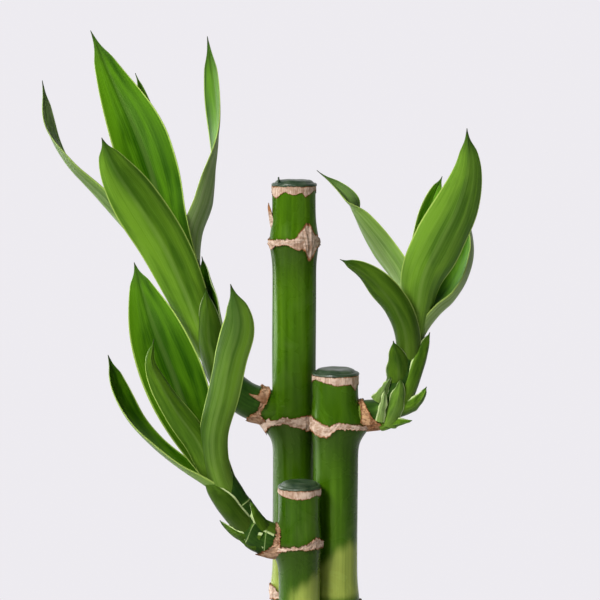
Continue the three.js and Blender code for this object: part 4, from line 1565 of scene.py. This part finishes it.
def right_shoot() -> Shoot:
    """The shoot at the right of the middle cane."""
    stem = Stem(foot=0.112, fresh=0.5, radius=[4.8, 4.8, 4.8, 4.7, 4.3, 3.6, 2.6, 1.2],
                axis=[(15, -1, 140.5), (21, -1, 141), (26, -1.3, 141.8), (29.8, -1.8, 145.3),
                      (32.2, -2.5, 151.5), (34, -3, 159.5), (36, -3, 168.5), (37.8, -3, 177)])
    leaves = [
        Blade("spear", width=(3, 4.2), place=0.5, sharp=2.0, clasp=90, trough=40, open=0.6, light=1.1,
              turn=[0, 0],
              rib=[(38, 1.5, 167), (38.2, 5, 182.5), (39.9, 8, 196.5), (42.4, 10, 208), (46, 12, 217)]),
        Blade("big_front", width=(5, 8.6), place=0.5, sharp=1.8, clasp=120, trough=34, open=0.45,
              light=0.98, painted_side_light=-0.22, bloom=0.08, turn=[178, 182, 188, 186, 182],
              rib=[(35.8, -3.6, 158), (37.2, -5, 173), (39, -8, 186), (44, -12, 197.5), (49.2, -16, 209),
                   (52, -20, 221), (51.3, -24, 233.6)]),
        Blade("twisted", width=(4.7, 6.5), place=0.45, sharp=1.9, clasp=110, trough=56, open=0.5,
              light=0.95, bloom=0.45, upper_bloom_and_sheen=0.45, turn=[120, 122, 124, 128, 134, 136, 126, 104, 52,
                    54, 70],
              rib=[(35.2, -0.5, 163.5), (34.4, 6, 174), (31.5, 12, 183.5), (25.5, 16, 192.5),
                   (19, 18, 202.4), (14.6, 19, 210.6), (5.5, 20, 218.5)]),
        Blade("outer_right", width=(5.4, 9.2), place=0.5, sharp=2, clasp=105, trough=55, open=0.6,
              bloom=0.75, turn=[-90, -82, -76, -75, -74],
              rib=[(36.4, -2, 158), (40, 0, 167), (44.3, 2, 173), (49, 5, 177.5), (53, 8, 183.5),
                   (55.5, 11, 190.5), (55.5, 12, 197.5), (53.5, 13, 205.5)]),
        Blade("outer_left", width=(6.2, 5.3), sharp=2, clasp=110, trough=40, open=0.7, light=0.5,
              turn=[172, 168, 163, 158, 150],
              rib=[(33.4, -4.6, 152), (33.8, -7.6, 166), (30.5, -10, 176), (25, -12, 183.5),
                   (19, -14, 189), (12.5, -16, 192.5)]),
        Blade("short_back", width=(6.2, 4.2), sharp=2.8, clasp=106, trough=66, open=0.95, light=0.62,
              small=True, turn=[-136, -134, -130],
              rib=[(33, -5.2, 142.5), (36, -5.8, 149), (38.4, -5.6, 156), (40.2, -4.6, 162.5),
                   (41.4, -3.4, 168)]),
        Blade("short_front", width=(8.5, 5.6), place=0.35, sharp=1.7, clasp=110, light=0.5, small=True,
              turn=[178, 178],
              rib=[(31.5, -4.2, 147), (31.5, -6.6, 153), (31, -8, 159.5), (29.5, -9.4, 166)]),
    ]
    scales = [
        Blade("side_scale", width=(4.6, 3.0), clasp=76, trough=46, light=0.75, small=True, turn=[205, 205],
              rib=[(30.4, -5.2, 142.2), (35.4, -6, 144), (38.4, -5.6, 146.8), (40.4, -4.8, 150.7)]),
        Blade("low_scale", width=(3.6, 2.3), sharp=1.5, clasp=76, trough=46, light=0.95, small=True,
              turn=[205, 205], rib=[(25.5, -5, 137.6), (30.4, -6.2, 138.9), (35.8, -6, 140)]),
        Blade("front_scale", width=(4.6, 3.4), place=0.35, sharp=1.8, clasp=90, light=0.85, bloom=0.16,
              small=True, turn=[176, 178, 180],
              rib=[(27.8, -6.2, 138), (30, -7.6, 143.5), (31.4, -8.2, 149), (32, -8.4, 153.7)]),
        Blade("stained_scale", width=(1.7, 1.4), place=0.5, clasp=60, trough=50, light=0.9, bloom=0.65,
              small=True, turn=[174, 174],
              rib=[(25.4, -6.7, 139.6), (26.3, -7.7, 144.5), (27.2, -7.6, 150.5)]),
        Blade("torn_scale", width=(3.8, 2.2), place=0.3, sharp=1.3, clasp=84, light=0.75, bloom=0.5,
              small=True, turn=[170, 168, 166],
              rib=[(24.6, -5, 145.8), (26.8, -5.8, 150), (29, -6.2, 154)]),
    ]
    collar = Collar("scar", seed=101,
                    low={180: 0.09, 120: 0.088, 60: 0.07, 0: 0.055, 325: 0.07, 300: 0.09, 270: 0.104,
                         240: 0.108, 210: 0.096},
                    high={180: 0.135, 120: 0.15, 60: 0.22, 0: 0.29, 315: 0.285, 290: 0.245, 270: 0.2,
                          240: 0.165, 210: 0.142})
    return Shoot("right", stem, leaves, scales, collar)


def main() -> None:
    """Build the studio and the plant, and report each piece."""
    logging.basicConfig(level=logging.INFO, format="%(name)s: %(message)s")
    Studio().build()
    skins = {
        "tall": CaneFinish("skin_tall").build(),
        "middle": CaneFinish("skin_middle", dark=(0.017, 0.055, 0.0008), middle=(0.04, 0.106, 0.0018),
                             pale=(0.08, 0.178, 0.007)).build(),
        "short": CaneFinish("skin_short", dark=(0.013, 0.044, 0.0008), middle=(0.031, 0.088, 0.0015),
                            pale=(0.068, 0.155, 0.006)).build(),
    }
    peeled = PaperFinish("peeled_skin").build()
    dry = PaperFinish("dry_sheath", grain=(500, 500, 1300), brown=0.4).build()
    scar = PaperFinish("torn_scar", grain=(700, 700, 1500), brown=0.7, pale=(0.52, 0.33, 0.21),
                       middle=(0.2, 0.09, 0.04)).build()
    rust = PaperFinish("granular_scar", grain=(1500, 1500, 1500), brown=0.6, pale=(0.56, 0.34, 0.18),
                       middle=(0.17, 0.06, 0.02)).build()
    wax = WaxFinish("sealing_wax").build()
    stem = StemFinish("shoot_stem").build()
    standing = canes()
    pot = Pot()
    pot.build(GlazeFinish("pot_glaze").build())
    Soil(standing, pot).build(SoilFinish("potting_soil").build())
    for cane in standing:
        cane.build(skins[cane.key], dry, peeled, wax)
    bud = Blade("bud_husk", width=(3.2, 2.6), place=0.3, sharp=1.5, clasp=60, trough=50, wave=0.0,
                small=True, turn=[90, 90],
                rib=[(-8.6, 8.6, 197.6), (-9.3, 8.3, 202.5), (-10.1, 8, 208.6)]).patch()
    bud.marks["edge"] = smooth(bud.points[:, 2], 200.0, 208.0)
    make_piece("cane_tall_bud_husk", bud, dry, Slot.CANE, ("cane_tall",))
    drip = Blade("drip", width=(0.75, 0.5), place=0.2, sharp=1.1, clasp=60, trough=50, wave=0.0,
                 small=True, turn=[180, 180],
                 rib=[(-6.6, 5.4, 214.9), (-6.8, 5.3, 216.0), (-6.9, 5.2, 217.1)])
    make_piece("wax_tall_drip", drip.patch(), wax, Slot.WAX, ("wax_cap_tall",))
    upper_left_shoot().build(stem, skins["tall"], scar)
    lower_left_shoot().build(stem, skins["short"], scar)
    right_shoot().build(stem, skins["middle"], rust)


if __name__ == "__main__":
    main()
